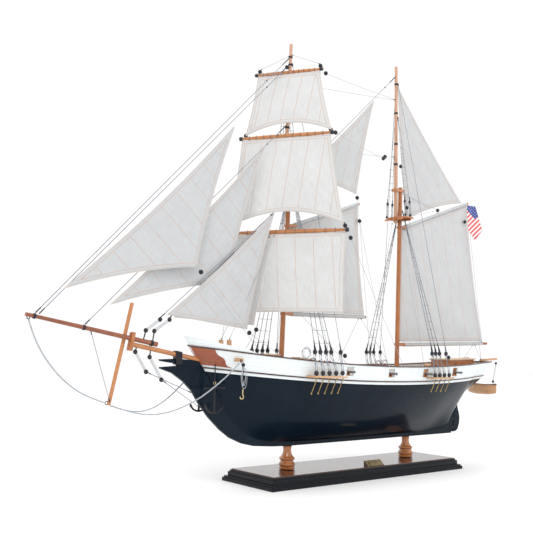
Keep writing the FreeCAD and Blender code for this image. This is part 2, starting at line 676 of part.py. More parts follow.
# pin rails inside the bulwarks, with a row of pins
PIN_RAIL_WIDTH = 4.4
FORE_RAIL = (-152.0, -102.0, 60.0, 63.4)     # start, end, and distance from the centreline at each
MAIN_RAIL = (116.0, 158.0, 64.2, 61.6)
FORE_PINS = [-146 + 9.5 * i for i in range(5)]
MAIN_PINS = [122 + 9.5 * i for i in range(4)]


def rail_y(rail, x):
    start, end, y_start, y_end = rail
    return y_start + (y_end - y_start) * (x - start) / (end - start)


def pin_rail(rail):
    """A narrow board on each side that lies along the bulwark."""
    start, end, y_start, y_end = rail
    half = PIN_RAIL_WIDTH / 2
    outline = [(start, y_start - half), (end, y_end - half), (end, y_end + half),
               (start, y_start + half)]
    return both_sides(slab(outline, rail_z((start + end) / 2) - 6.5, 2))


PIN_PROFILE = [(0.6, -7), (0.6, 0.0), (1.25, 0.6), (1.0, 3.2), (1.2, 5.4), (0.7, 6.2)]
belaying_pins = group([turned(PIN_PROFILE, (x, side * rail_y(rail, x), rail_z(x) - 4.4))
                       for rail, xs in ((FORE_RAIL, FORE_PINS), (MAIN_RAIL, MAIN_PINS))
                       for x in xs for side in (-1, 1)])
pin_rails = group(pin_rail(FORE_RAIL) + pin_rail(MAIN_RAIL)).cut(belaying_pins)
pin_rails = group(pin_rails.cut(bulwark).Solids)

# ---------------------------------------------------------------- guns
BORE_Z = 5.6                 # barrel height above the deck
GUN_Y = {-70.0: 59.0, 25.0: 61.0, 114.0: 60.0, 201.0: 54.5}   # carriage centres off the centreline


def gun_barrel(x, side):
    """A grey barrel with rings and a muzzle swell, pointing out of its port."""
    profile = [(0, -2.2), (1.0, -1.6), (1.3, -0.6), (0.8, 0), (2.9, 0.4), (2.9, 1.6), (2.5, 2.0),
               (2.3, 9), (2.0, 9.4), (1.7, 22), (2.3, 23.4), (2.3, 24.6), (1.2, 24.8), (1.2, 20),
               (0, 20)]
    wire = Part.makePolygon([V(r, 0, h) for r, h in profile] + [V(0, 0, -2.2)])
    barrel = Part.Face(wire).revolve(V(0, 0, 0), V(0, 0, 1), 360)
    barrel.rotate(V(0, 0, 0), V(1, 0, 0), -90 * side)
    barrel.translate(V(x, side * (GUN_Y[x] - 3.0), deck_z(x) + BORE_Z + 1.6))
    return barrel


def gun_carriage(x, side):
    """Two stepped cheeks on an axle bed, with four small trucks."""
    z = deck_z(x) + 0.25
    y = GUN_Y[x]
    bed = box(x, side * y, z + 1.0, 7.0, 15, 1.6)
    for offset in (-3.0, 3.0):
        outline = [(-7.5, 0), (-7.5, 5.4), (-1.5, 5.4), (-1.5, 3.8), (2.5, 3.8), (2.5, 2.2),
                   (7.5, 2.2), (7.5, 0)]
        points = [V(x + offset - 0.8, side * (y - step), z + 2.0 + rise) for step, rise in outline]
        cheek = Part.Face(Part.makePolygon(points + [points[0]])).extrude(V(1.6, 0, 0))
        bed = bed.fuse(cheek)
    for axle in (side * (y - 5.0), side * (y + 5.0)):
        bed = bed.fuse(rod((x - 4.8, axle, z + 1.5), (x + 4.8, axle, z + 1.5), 0.6))
        for offset in (-4.6, 4.6):
            wheel = rod((x + offset - 0.7, axle, z + 1.5), (x + offset + 0.7, axle, z + 1.5), 1.5)
            bed = bed.fuse(wheel)
    return bed


GUN_SITES = [(x, side) for x in PORT_XS for side in (-1, 1)]
gun_barrels = group([gun_barrel(x, side) for x, side in GUN_SITES])
gun_carriages = group([gun_carriage(x, side).cut(gun_barrel(x, side)) for x, side in GUN_SITES])
gun_carriages = gun_carriages.cut(house_deck).cut(bulwark)

# ---------------------------------------------------------------- channels and deadeyes
FORE_DEAD_XS = (-150.0, -136.5, -123.0, -109.0, -95.5)
MAIN_DEAD_XS = (124.0, 136.5, 149.0, 161.5)
FORE_SHROUD_XS = (-152.0, -141.0, -129.5, -118.5, -98.5)
MAIN_SHROUD_XS = (118.0, 127.5, 137.5, 155.0)
DEADEYE_Y = 80.0
CHANNEL_EDGE = 84.0


def channel(start, end, z_start, z_end):
    """A board that stands out from the hull to spread the shrouds."""
    board = plate([(start, z_start), (start, z_start + 2.4), (end, z_end + 2.4), (end, z_end)],
                  CHANNEL_EDGE - 60, -(CHANNEL_EDGE + 60) / 2)
    board = board.common(outer_side)
    return max(board.Solids, key=lambda solid: solid.Volume)


outer_side = Part.makeBox(700, 110, 200, V(-350, -115, 80)).cut(hull_form(-0.95))
fore_channel = channel(-156, -88, 165.0, 163.8)
main_channel = channel(116, 170, 160.4, 160.4)
channels = group(both_sides(fore_channel) + both_sides(main_channel))

lower_deadeyes = []
chainplates = []
for xs, z in ((FORE_DEAD_XS, 171.6), (MAIN_DEAD_XS, 166.6)):
    for x in xs:
        eye = block_at((x, -DEADEYE_Y, z + (0.0 if x > 0 else -0.004 * (x + 150))), (0, 1, 0), 3.5, 3.2)
        lower_deadeyes += both_sides(eye)
        top_z = (165.0 if x < 0 else 160.4) - 0.15
        plate_top = (x - 0.5, -CHANNEL_EDGE + 1.2, top_z)
        plate_foot = (x - 6.5, -76.2, 141.0 if x < 0 else 139.0)
        strap = rod(plate_top, plate_foot, 0.75)
        bolt = block_at(plate_foot, (0, 1, 0), 1.5, 1.6)
        chainplates += both_sides(strap.fuse(bolt))
lower_deadeyes = group(lower_deadeyes)
chainplates = group(group(chainplates).cut(channels).Solids)
UPPER_DEADEYE_Z = 203.5
upper_deadeyes = []
for x in FORE_SHROUD_XS + MAIN_SHROUD_XS:
    upper_deadeyes += both_sides(block_at((x, -78.5, UPPER_DEADEYE_Z), (0, 1, 0), 3.4, 3.0))
upper_deadeyes = group(upper_deadeyes)

TOP_DEADEYES = [(-10.0, 22.5), (3.0, 22.5)]
top_deadeyes = []
for axis, z in ((fore_x, FORE_TOP_Z), (main_x, MAIN_TOP_Z)):
    for dx, y in TOP_DEADEYES:
        for side in (-1, 1):
            top_deadeyes.append(block_at((axis(z) + dx, side * y, z + 5.2), (0, 1, 0), 2.5, 2.4))
            top_deadeyes.append(block_at((axis(z) + dx, side * (y - 1.5), z + 30), (0, 1, 0), 2.4, 2.4))
top_deadeyes = group(top_deadeyes)

# ---------------------------------------------------------------- stern boat and davits
DAVIT_Y = 33.0
BOAT_X = 362.0
DAVIT_TIP_X = 364.0
davits = []
for side in (-1, 1):
    arm = box((314 + DAVIT_TIP_X) / 2, side * DAVIT_Y, rail_z(320) + 0.4, DAVIT_TIP_X - 314, 4, 4)
    arm.rotate(V(314, 0, rail_z(320) + 0.4), V(0, 1, 0), -3.0)
    davits.append(arm.makeFillet(0.6, arm.Edges))
davits = group(davits).cut(cap_rail)
DAVIT_TIP_Z = rail_z(320) + 3.6

BOAT_HALF = 33.0
BOAT_BOTTOM = 125.0
BOAT_TOP = 144.5


def boat_sections(inset, floor):
    """Wires across the boat from one end to the other; the boat lies athwartships."""
    wires = []
    for step in range(-4, 5):
        s = step / 4
        y = s * (BOAT_HALF - inset)
        beam = max(10.5 * (1 - abs(s) ** 2.6) + 0.8 - inset, 0.4)
        keel_z = BOAT_BOTTOM + floor + 4.0 * abs(s) ** 3
        top_z = BOAT_TOP + 2.6 * s * s + (2.0 if floor else 0)
        curve = Part.BSplineCurve()
        curve.interpolate([V(BOAT_X - beam, y, top_z),
                           V(BOAT_X - beam * 0.93, y, keel_z + (top_z - keel_z) * 0.45),
                           V(BOAT_X - beam * 0.5, y, keel_z + (top_z - keel_z) * 0.08),
                           V(BOAT_X, y, keel_z),
                           V(BOAT_X + beam * 0.5, y, keel_z + (top_z - keel_z) * 0.08),
                           V(BOAT_X + beam * 0.93, y, keel_z + (top_z - keel_z) * 0.45),
                           V(BOAT_X + beam, y, top_z)])
        line = Part.makeLine(V(BOAT_X + beam, y, top_z), V(BOAT_X - beam, y, top_z))
        wires.append(Part.Wire([curve.toShape(), line]))
    return wires


boat_outer = Part.makeLoft(boat_sections(0, 0), True, False)
boat_inner = Part.makeLoft(boat_sections(1.2, 1.8), True, False)
stern_boat = boat_outer.cut(boat_inner)
stern_boat = max(stern_boat.Solids, key=lambda solid: solid.Volume)
thwarts = [Part.makeBox(30, 3.4, 1.2, V(BOAT_X - 15, y - 1.7, BOAT_TOP - 3.4)) for y in (-16, 0, 16)]
boat_thwarts = group([t.common(boat_inner) for t in thwarts])
rail_loft = Part.makeLoft(boat_sections(-0.8, 0), True, False)
gunwale_slab = Part.makeBox(40, 80, 1.6, V(BOAT_X - 20, -40, BOAT_TOP - 0.4))
boat_gunwale = rail_loft.cut(boat_outer).common(gunwale_slab)
boat_gunwale = group(boat_gunwale.Solids)

# falls: from each davit tip a two-part tackle down to the boat, swinging with it
fall_lines = []
fall_blocks = []
for side in (-1, 1):
    y = side * (DAVIT_Y - 7)
    fall_blocks.append(block_at((BOAT_X, y, 150.5), (1, 0, 0), 2.3, 2.6))
    fall_blocks.append(block_at((BOAT_X, side * DAVIT_Y, DAVIT_TIP_Z - 7), (1, 0, 0), 2.3, 2.6))
    for offset in (-0.9, 0.9):
        fall_lines.append(rod((BOAT_X + offset, side * DAVIT_Y, DAVIT_TIP_Z - 9.4),
                              (BOAT_X + offset, y, 152.9), THREAD))
    fall_lines.append(rod((BOAT_X, y, 148.0), (BOAT_X, y, BOAT_TOP - 2.0), THREAD))
boat_falls = group(fall_lines)
boat_fall_blocks = group(fall_blocks)

# ---------------------------------------------------------------- anchors and cat tackles
ANCHOR_X = -294.0
ANCHOR_Y = 20.0
ANCHOR_RING_Z = 156.0


def anchor(side):
    """Shank, stock, arms and flukes of an anchor hanging by its ring."""
    x, y, z = ANCHOR_X, side * ANCHOR_Y, ANCHOR_RING_Z
    shank = rod((x, y, z - 3.2), (x, y, z - 42), 1.2, 1.7)
    stock = rod((x - 17, y, z - 7), (x + 17, y, z - 7), 1.1)
    balls = [Part.makeSphere(1.9, V(x + dx, y, z - 7)) for dx in (-17, 17)]
    body = shank.fuse([stock] + balls)
    arm = Part.Arc(V(x - 15, y, z - 33), V(x, y, z - 43), V(x + 15, y, z - 33)).toShape()
    tube = Part.Wire([arm]).makePipeShell(
        [Part.Wire([Part.makeCircle(1.5, V(x - 15, y, z - 33), V(0.8, 0, -1))])], True, True)
    body = body.fuse(tube)
    for way in (-1, 1):
        palm_x = x + way * 12.6
        palm = Part.makePolygon([V(palm_x, y - 3.4, z - 36.5), V(palm_x, y + 3.4, z - 36.5),
                                 V(palm_x + way * 2.4, y, z - 29.5), V(palm_x, y - 3.4, z - 36.5)])
        body = body.fuse(Part.Face(palm).extrude(V(way * 1.4, 0, -0.8)))
    return body.removeSplitter()


def anchor_on_cable(side):
    """An anchor with its ring and the thread that comes down from the hawse hole."""
    ring = Part.makeTorus(3.1, 0.6, V(ANCHOR_X, side * ANCHOR_Y, ANCHOR_RING_Z), V(0, 1, 0))
    cable = rod((ANCHOR_X, side * ANCHOR_Y, 183.0),
                (ANCHOR_X, side * ANCHOR_Y, ANCHOR_RING_Z + 3.0), 0.8)
    return group([anchor(side), ring, cable])


def cat_tackle(side):
    """Block and hook hanging from a cathead."""
    x, y = CATHEAD_X, side * (CATHEAD_END + 2.4)
    block = block_at((x, y, 151.0), (0, 1, 0), 2.9, 3.0)
    threads = [rod((x + dx, y, 180.4), (x + dx, y, 153.6), THREAD) for dx in (-1.2, 1.2)]
    shank = rod((x, y, 148.2), (x, y, 141.6), 0.7)
    bend = Part.Arc(V(x, y, 141.8), V(x + 1.6, y, 134.6), V(x - 4.2, y, 137.4)).toShape()
    hook = Part.Wire([bend]).makePipeShell(
        [Part.Wire([Part.makeCircle(0.7, V(x, y, 141.8), V(0.3, 0, -1))])], True, True)
    return block, threads, shank.fuse(hook)


cat_blocks = [block_at((CATHEAD_X, side * (CATHEAD_END + 2.4), 183.2), (0, 1, 0), 2.7, 3.0)
              for side in (-1, 1)]
cathead_blocks = group(cat_blocks)

# ---------------------------------------------------------------- standing rigging
FORE_HOUNDS = (fore_x(468) + 3.0, 468.0)
MAIN_HOUNDS = (main_x(462) + 1.5, 462.0)


def lanyards(lower_xs, lower_z, upper_xs):
    """Three threads between each pair of deadeyes."""
    threads = []
    for low, high in zip(lower_xs, upper_xs):
        for offset in (-1.7, 0, 1.7):
            threads.append(rod((low + offset, -DEADEYE_Y, lower_z + 3.6 - abs(offset) * 0.4),
                               (high + offset, -78.5, UPPER_DEADEYE_Z - 3.5 + abs(offset) * 0.4), 0.3))
    return threads


def shroud_set(upper_xs, hounds):
    """Shrouds from the upper deadeyes to the masthead."""
    threads = []
    for x in upper_xs:
        foot = (x, -78.5, UPPER_DEADEYE_Z + 3.6)
        threads.append(rod(foot, (hounds[0], -4.6, hounds[1]), STAY))
    return threads


def point_between(a, b, t):
    return tuple(p + (q - p) * t for p, q in zip(a, b))


def ratlines(xs, foot_z, hounds, first, last, spacing):
    """Rungs of thread across a set of shrouds."""
    rungs = []
    count = int((last - first) / spacing)
    for step in range(count + 1):
        z = first + spacing * step
        t = (z - foot_z) / (hounds[1] - foot_z)
        ends = [point_between((x, -78.5, foot_z), (hounds[0], -4.6, hounds[1]), t)
                for x in (xs[0], xs[-1])]
        rungs.append(rod(ends[0], ends[1], 0.3))
    return rungs


SHROUD_FOOT = UPPER_DEADEYE_Z + 3.6
fore_shrouds = shroud_set(FORE_SHROUD_XS[:4], FORE_HOUNDS)
fore_shrouds += ratlines(FORE_SHROUD_XS[:4], SHROUD_FOOT, FORE_HOUNDS, 217, 432, 19.5)
fore_shrouds += lanyards(FORE_DEAD_XS, 171.6, FORE_SHROUD_XS)
main_shrouds = shroud_set(MAIN_SHROUD_XS[:3], MAIN_HOUNDS)
main_shrouds += ratlines(MAIN_SHROUD_XS[:3], SHROUD_FOOT, MAIN_HOUNDS, 217, 430, 14.2)
main_shrouds += lanyards(MAIN_DEAD_XS, 166.6, MAIN_SHROUD_XS)


def topmast_shrouds(axis, top_z, head_z):
    threads = []
    for dx, y in TOP_DEADEYES:
        low = (axis(top_z) + dx, -(y - 1.5), top_z + 32.6)
        head = (axis(top_z) - 9.0, -3.2, head_z)
        threads.append(rod(low, head, THREAD))
        threads.append(rod((low[0], -y, top_z + 7.8), (low[0], low[1], top_z + 27.4), 0.3))
    for step in range(9):
        z = top_z + 44 + 12.5 * step
        t = (z - top_z - 32.6) / (head_z - top_z - 32.6)
        ends = [point_between((axis(top_z) + dx, -(y - 1.5), top_z + 32.6),
                              (axis(top_z) - 9.0, -3.2, head_z), t) for dx, y in TOP_DEADEYES]
        threads.append(rod(ends[0], ends[1], 0.3))
    return threads


fore_top_rigging = topmast_shrouds(fore_x, FORE_TOP_Z, 640)
main_top_rigging = topmast_shrouds(main_x, MAIN_TOP_Z, 636)


def port_and_starboard(solids):
    return group(solids + [mirrored(solid) for solid in solids])


# backstays run from the topmast heads to the aftermost deadeyes
backstays = [rod((FORE_SHROUD_XS[4], -78.5, SHROUD_FOOT), (fore_top_x(676) + 2, -2.6, 676), THREAD),
             rod((MAIN_SHROUD_XS[3], -78.5, SHROUD_FOOT), (main_top_x(700) + 2, -2.4, 700), THREAD)]

# stays from the foremast down to the jib boom and bowsprit
STAYS = [((fore_top_x(684) - 3.4, 0, 684), (-561, 0, boom_z(-561) + 4.6)),
         ((fore_top_x(672) - 3.6, 0, 672), (-556, 0, boom_z(-556) + 4.4)),
         ((fore_top_x(569) - 3.8, 0, 569), (-492, 0, boom_z(-492) + 4.4)),
         ((fore_x(458) - 12, -1.0, 440), (-378, -1.0, 247.5)),
         ((fore_x(458) - 12, 3.0, 440), (-360, 3.0, 248.0)),
         ((main_top_x(711) - 3.0, 0, 711), (fore_x(486) + 5.5, 0, 480))]
stays = group([rod(head, foot, STAY) for head, foot in STAYS])

# hearts that set up the two forestays and the bobstays
STAY_HEARTS = [(-377.5, -1.0, 245.5), (-400, -1.0, 229.5), (-359.5, 3.0, 246.0), (-384, 3.0, 229.0)]
BOB_HEARTS = [(-415, 0, 199.5), (-397, 0, 172.0), (-392, 0, 192.5), (-374.5, -4.5, 161.0)]
stay_hearts = group([block_at(point, (0, 1, 0), 3.2, 3.0) for point in STAY_HEARTS + BOB_HEARTS])
bobstays = []
for high, low in ((BOB_HEARTS[0], BOB_HEARTS[1]), (BOB_HEARTS[2], BOB_HEARTS[3])):
    bobstays.append(rod(high, low, 0.35))
bobstays.append(rod(BOB_HEARTS[1], (-321.8, 0, 142.0), STAY))
bobstays.append(rod(BOB_HEARTS[3], (-306.5, -2.6, 119.5), STAY))
for high, low in ((STAY_HEARTS[0], STAY_HEARTS[1]), (STAY_HEARTS[2], STAY_HEARTS[3])):
    bobstays.append(rod(high, low, 0.35))
bobstays.append(rod((-483, 0, boom_z(-483) - 3.0), (striker_foot[0], 3.4, 131.5), 0.4))
bobstays = group(bobstays)

# ---------------------------------------------------------------- running rigging
PULLEYS = [on_yard("topgallant_yard", -50, 5.6), on_yard("topgallant_yard", 54, 5.2),
           on_yard("topsail_yard", -71, 6.0, -4.5), on_yard("topsail_yard", 74, 5.8, -4.5),
           on_yard("course_yard", 97, 6.4), on_yard("course_yard", -97, 6.4),
           on_yard("topgallant_yard", 63, -8.0), on_yard("topsail_yard", 83, -1.0),
           on_yard("course_yard", 106, -13.0),
           (fore_top_x(671) - 7.0, 0, 668), (118.0, -6.2, 543.0), (132.5, -8.0, 468.0),
           (74.0, -4.0, 551.0), (87.0, 4.0, 558.0), (10.0, -3.0, 471.0), (13.0, -6.0, 430.0),
           (224.0, -4.0, 474.5), (305.0, -5.0, 461.5), (-319.0, -14.0, 316.5), (-253.0, 6.6, 300.0),
           (-226.0, -11.0, 230.5), (-202.0, 3.0, 236.0), (333.0, -20.0, 191.0), (-85.0, -74.0, 198.0),
           (170.0, -72.0, 197.0)]
pulley_blocks = group([block_at(point, (0.3, 1, 0), 2.7, 3.2) for point in PULLEYS])

cap_point = (fore_top_x(640) - 1.0, -3.6, 640.0)
RUNNING = [
    # lifts from the mastheads to the yardarms
    ((fore_top_x(690), -2.9, 690), on_yard("topgallant_yard", 54, 8.4)),
    ((fore_top_x(690), 2.9, 690), on_yard("topgallant_yard", -50, 8.6)),
    (cap_point, on_yard("topsail_yard", 74, 9.0, -4.5)),
    ((cap_point[0], 3.6, 640), on_yard("topsail_yard", -71, 9.2, -4.5)),
    ((fore_x(508), -4.2, 508), on_yard("course_yard", 97, 9.6)),
    ((fore_x(508), 4.2, 508), on_yard("course_yard", -97, 9.6)),
    # braces led aft to the mainmast and down to the deck
    (on_yard("topgallant_yard", 63, -8.0), (main_top_x(668) - 3.4, -1.2, 668)),
    (on_yard("topgallant_yard", -57, 0, 0), (main_top_x(668) - 3.4, 1.4, 668)),
    (on_yard("topsail_yard", 83, -1.0), (74.0, -4.0, 551.0)),
    (on_yard("topsail_yard", -77, 0, 0), (87.0, 4.0, 558.0)),
    ((74.0, -4.0, 551.0), (main_top_x(560) - 4, -1.4, 556)),
    ((87.0, 4.0, 558.0), (main_top_x(560) - 4, 1.4, 560)),
    (on_yard("course_yard", 106, -13.0), (60.0, -67.0, rail_z(60) - 2)),
    (on_yard("course_yard", -101, 0, 0), (60.0, 67.0, rail_z(60) - 2)),
    # halyards and clew lines down the masts
    ((fore_x(440) + 8, -9, 440), (-108.0, -67, rail_z(-108) - 2)),
    ((fore_x(440) + 8, 9, 440), (-108.0, 67, rail_z(-108) - 2)),
    ((118.0, -6.2, 543.0), (132.5, -8.0, 468.0)),
    ((132.5, -8.0, 468.0), (141.0, -67, rail_z(141) - 2)),
    ((main_x(440) - 9, -10, 440), (112.0, -67, rail_z(112) - 2)),
    ((main_x(440) - 9, 10, 440), (112.0, 67, rail_z(112) - 2)),
    # peak halyards and topsail sheet
    ((main_x(498) + 4, -2.0, 494), (224.0, -4.0, 474.5)),
    ((224.0, -4.0, 474.5), (main_x(452) + 17, -6, 452)),
    ((10.0, -3.0, 471.0), (13.0, -6.0, 430.0)),
    ((13.0, -6.0, 430.0), (-20.0, -67, rail_z(-20) - 2)),
    ((13.0, -6.0, 430.0), (20.0, -67, rail_z(20) - 2)),
    ((305.0, -5.0, 461.5), (333.0, -20.0, 191.0)),
    ((305.0, -5.0, 461.5), (main_peak[0] - 4, -2.4, main_peak[2] - 4)),
    ((main_peak[0] - 4, 2.6, main_peak[2] - 4), (324.0, 26.0, rail_z(324))),
    # flag halyard
    ((main_boom_end[0] - 18, -2.9, 226), flag_point(323, 480)),
    # jib sheets to the bulwarks
    ((-319.0, -14.0, 316.5), (-232.0, -52.0, rail_z(-232))),
    ((-253.0, 6.6, 300.0), (-236.0, 50.0, rail_z(-236))),
    ((-226.0, -11.0, 230.5), (-198.0, -57.5, rail_z(-198))),
    ((-202.0, 3.0, 236.0), (-186.0, 61.0, rail_z(-186))),
    # sheets of the booms
    ((fore_boom_end[0] - 14, -2.6, 261.5), (30.0, -67, rail_z(30) - 2)),
    ((fore_boom_end[0] - 14, 2.6, 261.5), (30.0, 67, rail_z(30) - 2)),
    ((main_boom_end[0] - 40, -2.8, 221), (333.0, -20.0, 191.0)),
    ((main_boom_end[0] - 40, 2.8, 221), (327.0, 20.0, rail_z(327))),
    # pendants on the bitts
    ((-263, -10.5, 219.3), (-176.0, -6.0, 386.0)),
    ((-263, 10.5, 219.3), (-176.0, 6.0, 386.0)),
]
running_rigging = group([rod(a, b, 0.35) for a, b in RUNNING])

# coils of thread hung on the pins
COILS = [(-122.0, -71.5, 203.0, 8.5), (-112.0, 62.0, 186.0, 7.0), (150.0, 62.0, 184.0, 6.5),
         (-134.0, 62.0, 187.0, 7.0), (133.0, 62.0, 183.0, 6.0), (-140.0, -61.0, 189.0, 6.0)]
rope_coils = group([Part.makeTorus(radius, 0.7, V(x, y, z), V(0.25, 1, 0.1))
                    for x, y, z, radius in COILS])

# ---------------------------------------------------------------- hanging ropes
ROPE_DIAMETER = 2.0
ROPE_ROUTES = {
    "rope_boom": [(-569, 1.5, 239), (-563.5, 2.0, 223), (-550, 2.6, 197.5), (-528.5, 3.2, 171),
                  (-505, 3.8, 151.5), (-480.5, 4.4, 138.5), (-457.5, 5.0, 131)],
    "rope_port": [(-445.5, 3.0, 126), (-423, -1.5, 118), (-399, -6.5, 113), (-371.5, -12.5, 114.5),
                  (-345, -20, 123.5), (-321.5, -29, 137.5), (-300.5, -38, 155.5),
                  (-284, -45.5, 172), (-272.5, -50.5, 186)],
    "rope_starboard": [(-445.5, 9.5, 126), (-421, 13.5, 118.5), (-396, 18, 115), (-370.5, 23, 119),
                       (-346.5, 29, 129.5), (-323, 36, 144), (-300.5, 43, 160.5),
                       (-284, 48, 174), (-272.5, 50.5, 186)],
}


def rope(points):
    """A round rope along straight runs joined by tangent arcs."""
    corners = [V(*point) for point in points]
    edges = []
    start = corners[0]
    smallest = 1e9
    for before, corner, after in zip(corners, corners[1:], corners[2:]):
        back = before - corner
        ahead = after - corner
        reach = 0.45 * min(back.Length, ahead.Length)
        back.normalize()
        ahead.normalize()
        first = corner + back * reach
        last = corner + ahead * reach
        half_turn = (math.pi - back.getAngle(ahead)) / 2
        radius = reach / math.tan(half_turn)
        smallest = min(smallest, radius)
        to_middle = (back + ahead).normalize()
        middle = corner + to_middle * (radius / math.cos(half_turn) - radius)
        edges.append(Part.LineSegment(start, first).toShape())
        edges.append(Part.Arc(first, middle, last).toShape())
        start = last
    edges.append(Part.LineSegment(start, corners[-1]).toShape())
    path = Part.Wire(edges)
    circle = Part.Wire([Part.makeCircle(ROPE_DIAMETER / 2, corners[0], corners[1] - corners[0])])
    solid = path.makePipeShell([circle], True, True)
    section = math.pi * (ROPE_DIAMETER / 2) ** 2
    print("rope length", round(path.Length, 1), "tightest arc", round(smallest, 1),
          "volume ratio", round(solid.Volume / (section * path.Length), 4))
    return solid


# ring bolts that the ropes are made fast to
rope_eyes = [Part.makeTorus(2.0, 0.6, V(-569.5, 1.4, 241.6), V(0, 1, 0)),
             Part.makeTorus(2.2, 0.6, V(-452.6, STRIKER_Y, 130), V(0.2, 1, 0)),
             Part.makeTorus(2.0, 0.6, V(-271.0, -CATHEAD_END - 1.6, 188.4), V(1, 0, 0)),
             Part.makeTorus(2.0, 0.6, V(-271.0, CATHEAD_END + 1.6, 188.4), V(1, 0, 0))]

# ---------------------------------------------------------------- write every piece
for name, route in ROPE_ROUTES.items():
    save(name, rope(route))
for name, shape in sails.items():
    save(name, shape)
for side, word in ((-1, "port"), (1, "starboard")):
    block, threads, hook = cat_tackle(side)
    save("cat_tackle_" + word, group([block] + threads + [hook]))
    save("anchor_" + word, anchor_on_cable(side))

save("hull", hull)
save("keel", keel)
save("rudder", rudder)
save("bulwark", bulwark)
save("deck", deck)
save("cap_rail", cap_rail)
save("wale", wale)
save("washboard", washboard)
save("cheeks", cheeks)
save("bowsprit", bowsprit)
save("jib_boom", jib_boom)
save("spar_caps", group([bowsprit_cap, fore_cap, main_cap]))
save("dolphin_striker", dolphin_striker)
save("spar_bands", group(boom_collars.Solids + topmast_bands.Solids + gammoning.Solids + rope_eyes))
save("lower_masts", group([fore_lower_mast, main_lower_mast]))
save("topmasts", group([fore_topmast, main_topmast]))
save("mast_tops", group([fore_top, main_top]))
save("yards", group(list(yards.values())))
save("gaffs", group([fore_gaff, main_gaff]))
save("booms", group([fore_boom, main_boom]))
save("spar_jaws", spar_jaws)
save("flag", flag)
save("deck_fittings", group(bitts.Solids + catheads.Solids + [capstan]))
save("house_walls", group([deckhouse, fore_hatch_walls, scuttle_walls]))
save("house_roofs", group([deckhouse_roof, fore_hatch_roof, scuttle_roof]))
save("pin_rails", group(pin_rails.Solids + belaying_pins.Solids))
save("gun_barrels", gun_barrels)
save("gun_carriages", gun_carriages)
save("channels", channels)
save("brass_straps", group(chainplates.Solids + gudgeons))
save("deadeyes", group(lower_deadeyes.Solids + upper_deadeyes.Solids + top_deadeyes.Solids +
                       stay_hearts.Solids))
save("pulley_blocks", group(pulley_blocks.Solids + cathead_blocks.Solids))
save("davits", davits)
save("stern_boat", stern_boat)
save("boat_trim", group(boat_gunwale.Solids + boat_thwarts.Solids))
save("boat_falls", group(boat_falls.Solids + boat_fall_blocks.Solids))
save("standing_rigging", group(
    port_and_starboard(fore_shrouds + main_shrouds + fore_top_rigging + main_top_rigging +
                       backstays).Solids + stays.Solids + bobstays.Solids))
save("running_rigging", group(running_rigging.Solids + rope_coils.Solids))
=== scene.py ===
import math

import bmesh
import bpy
import numpy as np
from mathutils import Matrix, Vector


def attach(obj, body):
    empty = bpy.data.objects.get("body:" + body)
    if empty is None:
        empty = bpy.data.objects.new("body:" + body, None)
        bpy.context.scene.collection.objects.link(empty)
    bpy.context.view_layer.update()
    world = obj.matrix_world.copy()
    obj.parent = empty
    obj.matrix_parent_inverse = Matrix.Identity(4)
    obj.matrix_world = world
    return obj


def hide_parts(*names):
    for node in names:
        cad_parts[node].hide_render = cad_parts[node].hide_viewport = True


# Looks for a wooden display model of a two-masted sailing ship.
# Frame: X aft, Y to starboard, Z up. Shapes are worked out in millimetres and made in metres.

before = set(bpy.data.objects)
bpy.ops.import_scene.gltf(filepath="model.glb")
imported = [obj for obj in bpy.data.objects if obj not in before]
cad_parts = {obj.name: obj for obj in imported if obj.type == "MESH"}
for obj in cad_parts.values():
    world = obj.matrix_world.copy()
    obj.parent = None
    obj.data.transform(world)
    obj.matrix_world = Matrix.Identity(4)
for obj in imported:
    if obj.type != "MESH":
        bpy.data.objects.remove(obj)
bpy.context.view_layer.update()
MM = 0.001
HEM = 5.2                          # width of a sail's hem
LOWEST_SHEER = 0.095               # where the planks run lowest, in metres
SHEER_CURVE = 0.14                 # how fast they rise from there, per metre
HEM_HALF, CLOTH_HALF, FLAG_HALF = 0.42, 0.25, 0.16  # half thicknesses
THREAD_PITCH = 0.9                 # spacing of the turns in a seizing
SQUARE_TONE = (0.64, 0.645, 0.65)  # canvas of the square sails
# the jibs and fore-and-aft sails are the same canvas as the square sails, painted darker as painted shade
JIB_TONE_PAINTED_SHADE = (0.515, 0.53, 0.55)
AFT_TONE_PAINTED_SHADE = (0.53, 0.54, 0.555)
SEAM_THREAD = (0.50, 0.27, 0.15)
scene = bpy.context.scene

# ---------------------------------------------------------------- camera
TURN, LIFT, ROLL = math.radians(38.36), math.radians(-5.76), math.radians(1.06)
TARGET = Vector((-0.18634, 0.0, 0.33574))
DISTANCE = 1.2612
LENS = 54.03

look = Vector((math.sin(TURN) * math.cos(LIFT), math.cos(TURN) * math.cos(LIFT), -math.sin(LIFT)))
level = Vector((math.cos(TURN), -math.sin(TURN), 0.0))
upright = level.cross(look)
right = math.cos(ROLL) * level + math.sin(ROLL) * upright
up = -math.sin(ROLL) * level + math.cos(ROLL) * upright
camera = bpy.data.objects.new("camera", bpy.data.cameras.new("camera"))
camera.data.lens = LENS
camera.data.sensor_width = 36.0
camera.data.clip_start = 0.05
camera.data.clip_end = 60.0
camera.matrix_world = Matrix((
    (right.x, up.x, -look.x, 0), (right.y, up.y, -look.y, 0), (right.z, up.z, -look.z, 0), (0, 0, 0, 1)
))
camera.location = TARGET - DISTANCE * look
scene.collection.objects.link(camera)
scene.camera = camera


